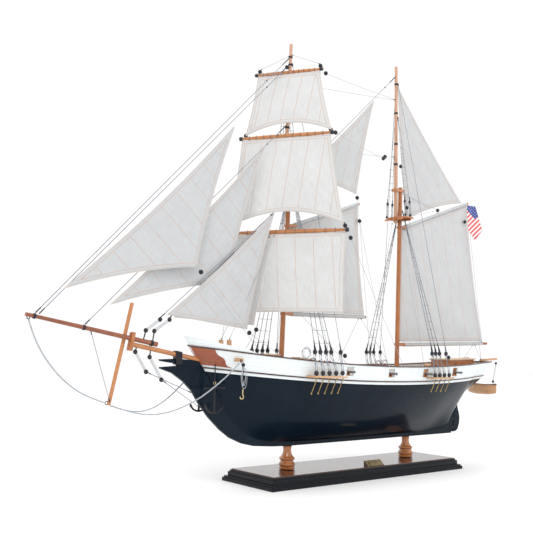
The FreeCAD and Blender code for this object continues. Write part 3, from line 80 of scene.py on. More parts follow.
# ---------------------------------------------------------------- material nodes
class Paint:
    """A node material: helpers that add nodes and join them up."""

    def __init__(self, name, **fixed):
        self.material = bpy.data.materials.new(name)
        self.material.use_nodes = True
        self.nodes = self.material.node_tree.nodes
        self.links = self.material.node_tree.links
        self.shader = self.nodes["Principled BSDF"]
        for socket, value in fixed.items():
            self.shader.inputs[socket.replace("_", " ")].default_value = value

    def add(self, kind, inputs=None, **settings):
        node = self.nodes.new("ShaderNode" + kind)
        for key, value in settings.items():
            setattr(node, key, value)
        for key, value in (inputs or {}).items():
            if isinstance(value, bpy.types.NodeSocket):
                self.links.new(value, node.inputs[key])
            else:
                node.inputs[key].default_value = value
        return node

    def maths(self, operation, a, b=0.0, c=0.0):
        return self.add("Math", {0: a, 1: b, 2: c}, operation=operation).outputs[0]

    def plus(self, a, b):
        return self.maths("ADD", a, b)

    def minus(self, a, b):
        return self.maths("SUBTRACT", a, b)

    def times(self, a, b):
        return self.maths("MULTIPLY", a, b)

    def most(self, a, b):
        return self.maths("MAXIMUM", a, b)

    def sine(self, a):
        return self.maths("SINE", a)

    def phase(self, value, spacing):
        """How far value is through its spacing, from 0 to 1."""
        return self.maths("FRACT", self.maths("DIVIDE", value, spacing))

    def place(self, scale=(1, 1, 1)):
        coords = self.add("TexCoord").outputs["Object"]
        return self.add("Mapping", {"Vector": coords, "Scale": scale}).outputs[0]

    def axes(self, vector):
        return self.add("SeparateXYZ", {0: vector}).outputs

    def noise(self, vector, scale, detail=4.0, roughness=0.55, distortion=0.0):
        values = {"Vector": vector, "Scale": scale, "Detail": detail, "Roughness": roughness,
                  "Distortion": distortion}
        return self.add("TexNoise", values).outputs["Fac"]

    def ramp(self, factor, *stops):
        node = self.add("ValToRGB", {"Fac": factor})
        elements = node.color_ramp.elements
        while len(elements) < len(stops):
            elements.new(0.5)
        for element, (position, colour) in zip(elements, stops):
            element.position = position
            element.color = (*colour, 1.0) if len(colour) == 3 else colour
        return node.outputs["Color"]

    def blend(self, factor, a, b, mode="MIX"):
        node = self.add("Mix", data_type="RGBA", blend_type=mode)
        for key, value in ((0, factor), (6, a), (7, b)):
            if isinstance(value, bpy.types.NodeSocket):
                self.links.new(value, node.inputs[key])
            else:
                node.inputs[key].default_value = (*value, 1.0) if key else value
        return node.outputs[2]

    def line(self, value, width):
        """1 close to zero, falling to 0 at width."""
        distance = self.maths("DIVIDE", self.maths("ABSOLUTE", value), width)
        return self.minus(1.0, self.maths("MINIMUM", distance, 1.0))

    def repeat(self, value, spacing, width):
        """A line every spacing metres."""
        part = self.phase(value, spacing)
        return self.line(self.minus(part, 0.5), width / spacing)

    def dashes(self, value, spacing, width):
        """Soft marks, one to each spacing; width is a share of the spacing."""
        return self.line(self.minus(self.phase(value, spacing), 0.5), width)

    def colour(self, socket):
        self.links.new(socket, self.shader.inputs["Base Color"])
        return self

    def rough(self, factor, low, high):
        spread = self.add("MapRange", {"Value": factor, "To Min": low, "To Max": high})
        self.links.new(spread.outputs[0], self.shader.inputs["Roughness"])
        return self

    def bump(self, height, strength, distance):
        node = self.add("Bump", {"Height": height, "Strength": strength, "Distance": distance})
        self.links.new(node.outputs[0], self.shader.inputs["Normal"])
        return self


def wood(name, light, dark, grain, gloss=0.35, coat=0.4):
    """Varnished wood. grain gives how fast the figure changes along x, y and z."""
    paint = Paint(name, Coat_Weight=coat, Coat_Roughness=0.12)
    where = paint.place(grain)
    figure = paint.noise(where, 6.0, 6.0, 0.6, 0.8)
    pores = paint.noise(paint.place(tuple(4 * g for g in grain)), 12.0, 3.0, 0.7)
    clouds = paint.noise(paint.place((30, 30, 30)), 1.0, 2.0)
    middle = tuple((a + b) / 2 for a, b in zip(light, dark))
    base = paint.ramp(figure, (0.3, dark), (0.52, middle), (0.72, light))
    speckle = paint.ramp(pores, (0.36, (0.72, 0.66, 0.62)), (0.55, (1, 1, 1)))
    shade = paint.ramp(clouds, (0.3, (0.84, 0.82, 0.8)), (0.7, (1.06, 1.04, 1.0)))
    base = paint.blend(1.0, paint.blend(1.0, base, speckle, "MULTIPLY"), shade, "MULTIPLY")
    edge = paint.ramp(paint.add("NewGeometry").outputs["Pointiness"], (0.52, (0, 0, 0)), (0.62, (1, 1, 1)))
    worn = tuple(min(1.0, 1.35 * v + 0.02) for v in light)
    paint.colour(paint.blend(paint.times(edge, 0.12), base, worn))
    paint.rough(figure, gloss - 0.08, gloss + 0.1)
    return paint.bump(paint.plus(figure, pores), 0.12, 0.0006).material


def gloss_paint(name, colour, tint, gloss, coat, planks=0.0, shine=0.5):
    """Painted timber; planks is the width of a strake in metres, following the sheer."""
    paint = Paint(name, Coat_Weight=coat, Coat_Roughness=0.06, Specular_IOR_Level=shine)
    clouds = paint.noise(paint.place(), 26.0, 4.0)
    specks = paint.noise(paint.place(), 900.0, 2.0)
    base = paint.ramp(clouds, (0.3, colour), (0.7, tint))
    height = paint.times(specks, 0.12)
    if planks:
        x, _, z = paint.axes(paint.place())
        away = paint.maths("ABSOLUTE", paint.minus(x, LOWEST_SHEER))
        strake = paint.minus(z, paint.times(paint.maths("POWER", away, 2.0), SHEER_CURVE))
        seam = paint.repeat(strake, planks, 0.0004)
        number = paint.maths("FLOOR", paint.maths("DIVIDE", strake, planks))
        butt = paint.repeat(paint.plus(x, paint.times(number, 0.037)), 0.11, 0.0003)
        seams = paint.most(seam, paint.times(butt, 0.6))
        base = paint.blend(paint.times(seams, 0.28), base, tuple(0.45 * v for v in colour))
        height = paint.minus(height, seams)
    paint.colour(base)
    paint.rough(clouds, gloss, gloss + 0.1)
    return paint.bump(height, 0.25, 0.0003).material


def metal(name, light, dark, gloss):
    paint = Paint(name, Metallic=1.0)
    clouds = paint.noise(paint.place(), 140.0, 5.0)
    scratches = paint.noise(paint.place((60, 60, 900)), 3.0, 3.0)
    paint.colour(paint.ramp(clouds, (0.35, dark), (0.65, light)))
    paint.rough(clouds, gloss, gloss + 0.2)
    return paint.bump(scratches, 0.15, 0.0002).material


def twisted(name, light, dark, pitch, fuzz=0.25):
    """Thread or rope laid up in strands: diagonal ridges along the tube's length."""
    paint = Paint(name, Roughness=0.85, Sheen_Weight=fuzz, Sheen_Roughness=0.5)
    around, along, _ = paint.axes(paint.add("TexCoord").outputs["UV"])
    phase = paint.plus(paint.times(around, 2 * math.pi), paint.times(along, 2 * math.pi / pitch))
    ridge = paint.plus(paint.times(paint.sine(phase), 0.5), 0.5)
    fibres = paint.noise(paint.place(), 1400.0, 3.0)
    mixed = paint.plus(paint.times(ridge, 0.65), paint.times(fibres, 0.45))
    # colour darker in the grooves between strands: painted shade, mixed with the fibres' own uneven tone
    paint.colour(paint.ramp(mixed, (0.2, dark), (0.75, light)))
    return paint.bump(mixed, 0.6, 0.0002).material


def cloth(name, spacing, tone=SQUARE_TONE):
    """Sailcloth: plain weave, stitched seams across the first flat coordinate, and hems."""
    paint = Paint(name, Sheen_Weight=0.25, Sheen_Roughness=0.6)
    flat = paint.add("TexCoord").outputs["UV"]
    across, along, _ = paint.axes(flat)
    threads_a_metre = 2 * math.pi / 0.0007
    weave = paint.times(paint.sine(paint.times(across, threads_a_metre)),
                        paint.sine(paint.times(along, threads_a_metre)))
    slubs = paint.noise(paint.add("Mapping", {"Vector": flat, "Scale": (900, 60, 1)}).outputs[0], 1.0, 3.0)
    stains = paint.noise(flat, 22.0, 5.0, 0.6)
    base = paint.ramp(stains, (0.3, tuple(0.93 * v for v in tone)), (0.7, tone))
    thread = paint.ramp(slubs, (0.35, (0.93, 0.92, 0.9)), (0.65, (1.03, 1.03, 1.02)))
    base = paint.blend(1.0, base, thread, "MULTIPLY")
    stitches = paint.dashes(paint.plus(along, across), 0.0022, 0.42)
    edge = paint.add("Attribute", attribute_name="edge").outputs["Fac"]
    hem_width = HEM * MM
    panel = paint.times(paint.repeat(across, spacing, 0.0007), paint.maths("GREATER_THAN", edge, hem_width))
    inner = paint.line(paint.minus(edge, hem_width), 0.0007)
    outer = paint.line(paint.minus(edge, 0.0012), 0.0006)
    seams = paint.most(panel, paint.most(inner, paint.times(outer, 0.5)))
    marked = paint.times(seams, paint.plus(paint.times(stitches, 0.25), 0.62))
    hem = paint.maths("LESS_THAN", edge, hem_width)
    base = paint.blend(paint.times(hem, 0.5), base, tuple(0.90 * v for v in tone))
    paint.colour(paint.blend(marked, base, SEAM_THREAD))
    paint.rough(slubs, 0.72, 0.9)
    lap = paint.repeat(paint.plus(across, 0.0012), spacing, 0.0022)
    height = paint.plus(paint.times(weave, 0.18), paint.plus(paint.times(slubs, 0.3), paint.times(lap, 0.8)))
    return paint.bump(paint.minus(height, paint.times(seams, 0.5)), 0.45, 0.0003).material


def plain_canvas(name, tone):
    """Tightly wrapped canvas: a fine weave with faint creases."""
    paint = Paint(name, Roughness=0.85, Sheen_Weight=0.2)
    creases = paint.noise(paint.place((300, 300, 60)), 1.0, 3.0)
    weave = paint.noise(paint.place((1500, 1500, 1500)), 1.0, 2.0)
    # the crease troughs are painted darker: painted shade in the creases
    paint.colour(paint.ramp(creases, (0.3, tuple(0.82 * v for v in tone)), (0.7, tone)))
    return paint.bump(paint.plus(creases, weave), 0.4, 0.0003).material


def flag_paint():
    """Striped bunting with a plain dotted corner."""
    paint = Paint("flag_cloth", Roughness=0.8, Sheen_Weight=0.3)
    flat = paint.add("TexCoord").outputs["UV"]
    across, along, _ = paint.axes(flat)
    stripe = paint.maths("GREATER_THAN", paint.phase(across, 0.0068), 0.5)
    weave = paint.times(paint.sine(paint.times(across, 9000)), paint.sine(paint.times(along, 9000)))
    stripes = paint.blend(stripe, (0.80, 0.78, 0.78), (0.72, 0.09, 0.10))
    rows = paint.times(paint.dashes(across, 0.0046, 0.3), paint.dashes(along, 0.0046, 0.3))
    dots = paint.maths("GREATER_THAN", rows, 0.45)
    canton = paint.blend(dots, (0.05, 0.08, 0.30), (0.75, 0.76, 0.80))
    corner = paint.add("Attribute", attribute_name="canton").outputs["Fac"]
    paint.colour(paint.blend(paint.maths("GREATER_THAN", corner, 0.5), stripes, canton))
    return paint.bump(weave, 0.3, 0.0002).material


def plank_deck():
    """Narrow planks along the ship with dark caulking and staggered butts."""
    paint = Paint("deck_planks", Coat_Weight=0.2, Coat_Roughness=0.2)
    x, y, _ = paint.axes(paint.place())
    plank = 0.005
    row = paint.maths("FLOOR", paint.maths("DIVIDE", y, plank))
    seam = paint.repeat(y, plank, 0.0004)
    butt = paint.repeat(paint.plus(x, paint.times(row, 0.031)), 0.09, 0.0004)
    seams = paint.most(seam, butt)
    grain = paint.noise(paint.place((8, 240, 240)), 8.0, 5.0)
    odd = paint.maths("FRACT", paint.times(row, 0.377))
    base = paint.ramp(grain, (0.3, (0.42, 0.24, 0.11)), (0.7, (0.66, 0.43, 0.24)))
    shade = paint.ramp(odd, (0.0, (0.86, 0.84, 0.82)), (1.0, (1.05, 1.03, 1.0)))
    base = paint.blend(1.0, base, shade, "MULTIPLY")
    paint.colour(paint.blend(paint.times(seams, 0.85), base, (0.05, 0.03, 0.02)))
    paint.rough(grain, 0.4, 0.6)
    return paint.bump(paint.minus(grain, paint.times(seams, 2.0)), 0.3, 0.0003).material


MATERIALS = {
    "base_lacquer": gloss_paint("black_lacquer", (0.003, 0.004, 0.006), (0.006, 0.008, 0.012), 0.12, 0.12,
                                shine=0.15),
    "base_wood": wood("dark_base_wood", (0.085, 0.030, 0.020), (0.030, 0.010, 0.008), (10, 120, 120),
                      0.16, 0.35),
    "turned_wood": wood("turned_wood", (0.60, 0.23, 0.055), (0.30, 0.085, 0.018), (90, 90, 14), 0.2, 0.9),
    "hull_paint": gloss_paint("hull_paint", (0.0030, 0.0080, 0.0150), (0.0045, 0.0120, 0.0220), 0.14, 0.05,
                              shine=0.10),
    "white_paint": gloss_paint("white_paint", (0.74, 0.79, 0.80), (0.80, 0.84, 0.85), 0.35, 0.15, 0.006),
    "deck_wood": plank_deck(),
    "dark_trim": wood("dark_trim", (0.085, 0.030, 0.018), (0.030, 0.011, 0.008), (14, 150, 150), 0.35),
    "mahogany": wood("mahogany", (0.44, 0.105, 0.028), (0.20, 0.036, 0.010), (10, 110, 110), 0.3),
    "mast_wood": wood("mast_wood", (0.56, 0.215, 0.060), (0.34, 0.105, 0.026), (130, 130, 9), 0.28),
    "pale_mast_wood": wood("pale_mast_wood", (0.68, 0.42, 0.28), (0.52, 0.27, 0.16), (130, 130, 9), 0.3),
    "spar_wood": wood("spar_wood", (0.64, 0.285, 0.100), (0.40, 0.135, 0.040), (16, 90, 130), 0.3),
    "dark_spar_wood": wood("dark_spar_wood", (0.36, 0.105, 0.035), (0.19, 0.045, 0.015), (10, 120, 120), 0.3),
    "light_wood": wood("light_wood", (0.72, 0.44, 0.25), (0.52, 0.28, 0.14), (40, 60, 60), 0.45, 0.15),
    "cream_wood": wood("cream_wood", (0.74, 0.58, 0.41), (0.58, 0.42, 0.27), (20, 90, 90), 0.5, 0.1),
    "black_fittings": gloss_paint("black_fittings", (0.006, 0.007, 0.011), (0.013, 0.015, 0.022), 0.4, 0.1,
                                  shine=0.3),
    "brass": metal("brass", (0.44, 0.32, 0.14), (0.22, 0.155, 0.07), 0.3),
    "bright_brass": metal("bright_brass", (0.80, 0.66, 0.40), (0.52, 0.40, 0.20), 0.2),
    "gun_metal": metal("gun_metal", (0.32, 0.32, 0.33), (0.16, 0.16, 0.17), 0.38),
    "canvas_rope": twisted("canvas_rope", (0.70, 0.66, 0.60), (0.50, 0.44, 0.38), 0.002),
    # the sleeves take the darker aft-sail canvas tone: painted shade
    "sleeve": plain_canvas("sleeve_canvas", AFT_TONE_PAINTED_SHADE),
    "thread": twisted("grey_thread", (0.26, 0.29, 0.34), (0.09, 0.10, 0.13), 0.0016),
    "dark_thread": twisted("dark_thread", (0.035, 0.04, 0.055), (0.010, 0.011, 0.016), 0.0016),
    "pale_thread": twisted("pale_thread", (0.50, 0.52, 0.56), (0.26, 0.28, 0.32), 0.0016),
    "grey_rope": twisted("grey_rope", (0.50, 0.53, 0.57), (0.20, 0.22, 0.25), 0.004),
}

NODE_MATERIALS = {
    "base_lacquer": ["base_board"],
    "base_wood": ["base_top"],
    "turned_wood": ["pedestals"],
    "hull_paint": ["hull", "keel", "rudder"],
    "white_paint": ["bulwark", "washboard"],
    "deck_wood": ["deck"],
    "dark_trim": ["cap_rail", "wale", "boat_trim"],
    "mahogany": ["cheeks"],
    "mast_wood": ["lower_masts", "mast_tops", "spar_caps", "spar_jaws", "pin_rails", "gun_carriages",
                  "house_walls"],
    "pale_mast_wood": ["topmasts"],
    "spar_wood": ["bowsprit", "dolphin_striker", "yards", "gaffs"],
    "dark_spar_wood": ["jib_boom", "booms"],
    "light_wood": ["channels", "deck_fittings", "davits", "stern_boat"],
    "cream_wood": ["house_roofs"],
    "black_fittings": ["spar_bands", "anchor_port", "anchor_starboard", "cat_tackle_port",
                       "cat_tackle_starboard"],
    "brass": ["brass_straps"],
    "bright_brass": ["nameplate"],
    "gun_metal": ["gun_barrels"],
}
for finish, names in NODE_MATERIALS.items():
    for name in names:
        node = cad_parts[name]
        for index in range(max(1, len(node.material_slots))):
            if not node.material_slots:
                node.data.materials.append(MATERIALS[finish])
            node.material_slots[index].link = "OBJECT"
            node.material_slots[index].material = MATERIALS[finish]


# ---------------------------------------------------------------- mesh helpers
def tidy_normals(mesh):
    mesh.update()
    work = bmesh.new()
    work.from_mesh(mesh)
    bmesh.ops.recalc_face_normals(work, faces=work.faces)
    work.to_mesh(mesh)
    work.free()


def circle(side, over, sides):
    return [math.cos(a) * side + math.sin(a) * over for a in (2 * math.pi * k / sides for k in range(sides))]


def square_to(axis):
    """An axis of length 1 and two directions square to it."""
    axis = Vector(axis).normalized()
    side = axis.orthogonal().normalized()
    return axis, side, axis.cross(side)


class Shape:
    """Gathers the parts of one piece, in millimetres."""

    def __init__(self):
        self.verts = []
        self.faces = []
        self.flat = []

    def rings(self, rings, lengths, loop=False):
        """Skin a row of equal rings of points; lengths are the distance run at each ring."""
        base, n, m = len(self.verts), len(rings[0]), len(rings)
        self.verts += [tuple(p) for ring in rings for p in ring]
        for i in range(m if loop else m - 1):
            j = (i + 1) % m
            v0, v1 = lengths[i] * MM, lengths[i + 1] * MM
            for k in range(n):
                q = (k + 1) % n
                self.faces.append((base + i * n + k, base + i * n + q, base + j * n + q, base + j * n + k))
                self.flat.append(((k / n, v0), ((k + 1) / n, v0), ((k + 1) / n, v1), (k / n, v1)))
        if not loop:
            for start, order in ((0, -1), ((m - 1) * n, 1)):
                self.faces.append(tuple(range(base + start, base + start + n))[::order])
                self.flat.append(((0.0, 0.0),) * n)

    def tube(self, points, radius, sides=6, loop=False):
        """A round tube along points. radius may be a list, one for each point."""
        points = [Vector(p) for p in points]
        count = len(points)
        radii = radius if isinstance(radius, list) else [radius] * count
        ahead = [points[(i + 1) % count] - points[i] for i in range(count)]
        side = None
        rings, lengths, run = [], [], 0.0
        for i, point in enumerate(points):
            if loop or 0 < i < count - 1:
                along = (ahead[i].normalized() + ahead[i - 1].normalized()).normalized()
            else:
                along = (ahead[0] if i == 0 else ahead[i - 1]).normalized()
            if side is None:
                side = along.orthogonal().normalized()
            side = (side - along * side.dot(along)).normalized()
            over = along.cross(side)
            rings.append([point + radii[i] * way for way in circle(side, over, sides)])
            lengths.append(run)
            run += ahead[i].length
        self.rings(rings, lengths + [run], loop)

    def turned(self, profile, origin, axis, sides=14):
        """A solid turned round an axis, from (radius, height) points."""
        axis, side, over = square_to(axis)
        rings = [[Vector(origin) + axis * h + max(r, 0.02) * way for way in circle(side, over, sides)]
                 for r, h in profile]
        self.rings(rings, [h for _, h in profile] + [0.0])

    def wrapped(self, a, b, r1, r2):
        """Turns of thread wound close together from a to b."""
        a, b = Vector(a), Vector(b)
        run = (b - a).length
        turns = max(2, round(run / THREAD_PITCH))
        profile = [(0.0, 0.0)]
        for turn in range(turns):
            radius = r1 + (r2 - r1) * turn / turns
            start = run * turn / turns
            profile += [(radius * 0.86, start + 0.02), (radius, start + 0.3 * run / turns),
                        (radius, start + 0.7 * run / turns)]
        self.turned(profile + [(r2 * 0.86, run), (0.0, run)], a, b - a, 10)

    def ring(self, centre, axis, radius, wire, sides=8, steps=20):
        """A plain ring of wire round an axis."""
        _, side, over = square_to(axis)
        self.tube([Vector(centre) + radius * way for way in circle(side, over, steps)], wire, sides, True)

    def make(self, name, material, body="ship", slot="thread", replaces=()):
        mesh = bpy.data.meshes.new(name)
        mesh.from_pydata([tuple(MM * c for c in v) for v in self.verts], [], self.faces)
        layer = mesh.uv_layers.new(name="flat")
        corners = [uv for face in self.flat for uv in face]
        layer.data.foreach_set("uv", np.array(corners, dtype=np.float32).ravel())
        mesh.polygons.foreach_set("use_smooth", [True] * len(mesh.polygons))
        mesh.materials.append(MATERIALS[material])
        tidy_normals(mesh)
        obj = bpy.data.objects.new(name, mesh)
        scene.collection.objects.link(obj)
        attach(obj, body)
        if replaces:
            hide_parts(*replaces)
        return obj


def rise(height):
    return Vector((0, 0, height))


def mid(a, b, t):
    return Vector(a).lerp(Vector(b), t)


def sagging(a, b, sag, steps=8):
    """Points from a to b that hang sag millimetres below the straight line."""
    return [mid(a, b, i / steps) - rise(4 * sag * (i / steps) * (1 - i / steps))
            for i in range(steps + 1)]


def wobble(seed, t):
    """A smooth repeatable wave between -1 and 1."""
    return (math.sin(t * 2.1 + seed * 1.7) + math.sin(t * 3.7 + seed * 2.9) + math.sin(t * 5.3 + seed)) / 3


# ---------------------------------------------------------------- hanging ropes
ROPE_DIAMETER, CORE_RADIUS = 0.002, 0.00092
ROPE_ROUTES = {
    "rope_boom": [(-569, 1.5, 239), (-563.5, 2.0, 223), (-550, 2.6, 197.5), (-528.5, 3.2, 171),
                  (-505, 3.8, 151.5), (-480.5, 4.4, 138.5), (-457.5, 5.0, 131)],
    "rope_port": [(-445.5, 3.0, 126), (-423, -1.5, 118), (-399, -6.5, 113), (-371.5, -12.5, 114.5),
                  (-345, -20, 123.5), (-321.5, -29, 137.5), (-300.5, -38, 155.5),
                  (-284, -45.5, 172), (-272.5, -50.5, 186)],
    "rope_starboard": [(-445.5, 9.5, 126), (-421, 13.5, 118.5), (-396, 18, 115), (-370.5, 23, 119),
                       (-346.5, 29, 129.5), (-323, 36, 144), (-300.5, 43, 160.5),
                       (-284, 48, 174), (-272.5, 50.5, 186)],
}


def rope(name, route):
    """A slack rope: a core along its line and three strands laid round it."""
    curve = bpy.data.curves.new(name + "_line", "CURVE")
    curve.dimensions = "3D"
    curve.resolution_u = 16
    spline = curve.splines.new("NURBS")
    spline.points.add(len(route) - 1)
    for point, place in zip(spline.points, route):
        point.co = (*(MM * c for c in place), 1.0)
    spline.order_u = 3
    spline.use_endpoint_u = True
    core = bpy.data.objects.new(name + "_line", curve)
    scene.collection.objects.link(core)
    bpy.context.view_layer.update()
    traced = bpy.data.meshes.new_from_object(core)
    line = [v.co / MM for v in traced.vertices]
    bpy.data.meshes.remove(traced)
    strands = Shape()
    lay, reach, thick = 5.0, 0.50, 0.52
    for strand in range(3):
        points, run = [], 0.0
        side = (line[1] - line[0]).orthogonal().normalized()
        for i, centre in enumerate(line[:-1]):
            along = (line[i + 1] - centre).normalized()
            side = (side - along * side.dot(along)).normalized()
            over = along.cross(side)
            step = (line[i + 1] - centre).length
            pieces = max(1, round(step / 0.6))
            for k in range(pieces):
                angle = 2 * math.pi * ((run + step * k / pieces) / lay + strand / 3)
                points.append(centre + along * (step * k / pieces)
                              + reach * (math.cos(angle) * side + math.sin(angle) * over))
            run += step
        strands.tube(points, thick, 7)
    laid = strands.make(name + "_strands", "grey_rope", slot="grey_rope")
    curve.bevel_depth = CORE_RADIUS
    curve.bevel_resolution = 3
    curve.use_fill_caps = True
    curve.materials.append(MATERIALS["grey_rope"])
    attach(core, "ship")
    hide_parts(name)


for rope_name, rope_route in ROPE_ROUTES.items():
    rope(rope_name, rope_route)

# ---------------------------------------------------------------- places on the ship
DEADEYE_Y, UPPER_Y, UPPER_Z = 80.0, 78.5, 203.5
FORE_DEAD_XS = (-150.0, -136.5, -123.0, -109.0, -95.5)
MAIN_DEAD_XS = (124.0, 136.5, 149.0, 161.5)
FORE_SHROUD_XS = (-152.0, -141.0, -129.5, -118.5, -98.5)
MAIN_SHROUD_XS = (118.0, 127.5, 137.5, 155.0)
FORE_TOP_Z, MAIN_TOP_Z = 452.0, 446.0
SLOPE = 0.182
BRACE = math.radians(31.6)
PORT_WAY = Vector((math.sin(BRACE), -math.cos(BRACE), 0))
FORWARD_WAY = Vector((-math.cos(BRACE), -math.sin(BRACE), 0))


def fore_x(z):
    return -153.4 + 0.039 * (z - 186.0)


def main_x(z):
    return 114.6 + 0.028 * (z - 170.0)


def fore_top_x(z):
    return -152.4 + 0.039 * (z - 460.0)


def main_top_x(z):
    return 111.5 + 0.002 * (z - 460.0)


def rail_z(x):
    return 181.5 + 0.00016 * (x - 95.0) ** 2


def pin(x, y, below=2.0):
    """Where a line is made fast on the rail."""
    return (x, y, rail_z(x) - below)


def boom_z(x):
    return 210.3 - SLOPE * (x + 381.0)


# height, radius, mast line and stand-off of each yard
YARDS = {
    "topgallant_yard": (657.0, 2.7, fore_top_x, 11.0),
    "topsail_yard": (549.5, 3.1, fore_top_x, 13.8),
    "course_yard": (393.0, 3.4, fore_x, 16.8),
}
BRACE_SHIFT, LEAST_STAND_OFF = 0.36, 6.5


def on_yard(name, along, above=0.0, forward=0.0):
    """A point on a yard: along is positive towards the port end."""
    z, _, axis, stand_off = YARDS[name]
    centre = Vector((axis(z), 0, z)) + FORWARD_WAY * stand_off
    centre += PORT_WAY * (BRACE_SHIFT * (stand_off - LEAST_STAND_OFF))
    return centre + PORT_WAY * along + FORWARD_WAY * forward + rise(above)


# ---------------------------------------------------------------- sails
def edge_curve(a, b, hollow, middle):
    """A function of 0..1 along a sail's edge whose middle curves in by hollow."""
    half = (a + b) / 2
    along = (b - a).normalized()
    inward = middle - half
    inward = (inward - along * inward.dot(along)).normalized()
    return lambda u: a.lerp(b, u) + inward * (hollow * 4 * u * (1 - u))


def outline_distance(points, outline):
    """Distance of each point from the closed outline."""
    best = np.full(len(points), 1e9)
    for a, b in zip(outline, np.roll(outline, -1, axis=0)):
        run = b - a
        t = np.clip(((points - a) @ run) / (run @ run), 0, 1)
        best = np.minimum(best, np.linalg.norm(points - (a + t[:, None] * run), axis=1))
    return best


def cloth_piece(name, surface, row, normal, half, flat_points, values, material):
    """A closed thin sheet round a grid of points, row to a line; also gives its rim."""
    count = len(surface)
    lines = count // row
    verts = [p + normal * h for p, h in zip(surface, half)]
    verts += [p - normal * h for p, h in zip(surface, half)]
    faces = []
    for j in range(lines - 1):
        for k in range(j * row, j * row + row - 1):
            faces.append((k, k + 1, k + row + 1, k + row))
            faces.append((count + k + row, count + k + row + 1, count + k + 1, count + k))
    rim = list(range(row)) + [j * row + row - 1 for j in range(1, lines)]
    rim += list(range(count - 2, count - row - 1, -1)) + [j * row for j in range(lines - 2, 0, -1)]
    for k, q in zip(rim, rim[1:] + rim[:1]):
        faces.append((k, count + k, count + q, q))
    mesh = bpy.data.meshes.new(name)
    mesh.from_pydata([tuple(MM * v) for v in verts], [], faces)
    layer = mesh.uv_layers.new(name="flat")
    both = np.vstack([flat_points, flat_points]) * MM
    order = [loop.vertex_index for loop in mesh.loops]
    layer.data.foreach_set("uv", both[order].astype(np.float32).ravel())
    for key, numbers in values.items():
        attribute = mesh.attributes.new(key, "FLOAT", "POINT")
        attribute.data.foreach_set("value", (np.concatenate([numbers, numbers]) * MM).astype(np.float32))
    mesh.polygons.foreach_set("use_smooth", [True] * len(mesh.polygons))
    mesh.materials.append(material)
    tidy_normals(mesh)
    obj = bpy.data.objects.new(name + "_cloth", mesh)
    scene.collection.objects.link(obj)
    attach(obj, "ship")
    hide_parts(name)
    return obj, [surface[k] for k in rim]


def sail(name, corners, hollows, seam_way, material, belly, bulge,
         cell=3.0, seed=1, cross_cut=False):
    """
    A sheet of sailcloth with hems. Three corners are tack, head and clew; four go round.
    seam_way is a pair of corners whose edge the seams run along, or meet squarely if cross_cut.
    """
    points = [Vector(c) for c in corners]
    middle = sum(points, Vector()) / len(points)
    count = len(points)
    edges = [edge_curve(points[i], points[(i + 1) % count], hollows[i], middle) for i in range(count)]
    if count == 3:
        tack, head, clew = points
        low, high = (lambda s: edges[2](1 - s)), (lambda s: head)
        left, right_edge = edges[0], (lambda t: edges[1](1 - t))
        p00, p10, p01, p11 = tack, clew, head, head
        top = 0.982
    else:
        a, b, c, d = points
        low, high = edges[0], (lambda s: edges[2](1 - s))
        left, right_edge = (lambda t: edges[3](1 - t)), edges[1]
        p00, p10, p01, p11 = a, b, d, c
        top = 1.0
    wide = max((p10 - p00).length, (p11 - p01).length)
    tall = max((p01 - p00).length, (p11 - p10).length)
    ns, nt = round(wide / cell), round(tall / cell)
    normal = (points[1] - points[0]).cross(points[2] - points[0]).normalized()
    if normal.dot(Vector(bulge)) < 0:
        normal = -normal
    seam = (points[seam_way[1]] - points[seam_way[0]]).normalized()
    if cross_cut:
        seam = normal.cross(seam).normalized()
    across = normal.cross(seam).normalized()
    grid = []
    for j in range(nt + 1):
        t = top * j / nt
        for i in range(ns + 1):
            s = i / ns
            p = ((1 - t) * low(s) + t * high(s) + (1 - s) * left(t) + s * right_edge(t)
                 - (1 - s) * (1 - t) * p00 - s * (1 - t) * p10 - (1 - s) * t * p01 - s * t * p11)
            grid.append(p)
    flat_points = np.array([(p.dot(across), p.dot(seam)) for p in grid])
    border = [k / 24 for k in range(24)]
    outline = np.array([(edge(u).dot(across), edge(u).dot(seam)) for edge in edges for u in border])
    away = outline_distance(flat_points, outline)
    size = math.sqrt(wide * tall)
    surface = []
    for index, p in enumerate(grid):
        s, t = (index % (ns + 1)) / ns, (index // (ns + 1)) / nt
        if count == 3:
            fill = math.sin(math.pi * s) * (1 - t) ** 0.6 * (0.55 + 0.45 * math.sin(math.pi * t))
        else:
            fill = math.sin(math.pi * s) ** 0.8 * math.sin(math.pi * (0.06 + 0.82 * t))
        out = belly * fill
        for number, corner in enumerate(points):
            to = p - corner
            reach = to.length
            angle = math.atan2(to.dot(seam), to.dot(across))
            out += 0.55 * math.exp(-reach / (0.28 * size)) * min(1, reach / 20) * math.sin(
                9 * angle + number + seed)
        out += 0.5 * min(1, away[index] / 14) * wobble(seed, 5 * s + 3.1 * t)
        out += 0.35 * min(1, away[index] / 9) * wobble(seed + 3, 11 * s - 7 * t)
        surface.append(p + normal * out)
    half = np.where(away < HEM, HEM_HALF, CLOTH_HALF)
    obj, front = cloth_piece(name, surface, ns + 1, normal, half, flat_points, {"edge": away}, material)
    ropes = Shape()
    ropes.tube(front, 0.55, 6, True)
    bolt = ropes.make(name + "_bolt_rope", "canvas_rope", slot="canvas")


PORT_SIDE = (0, -1, 0)
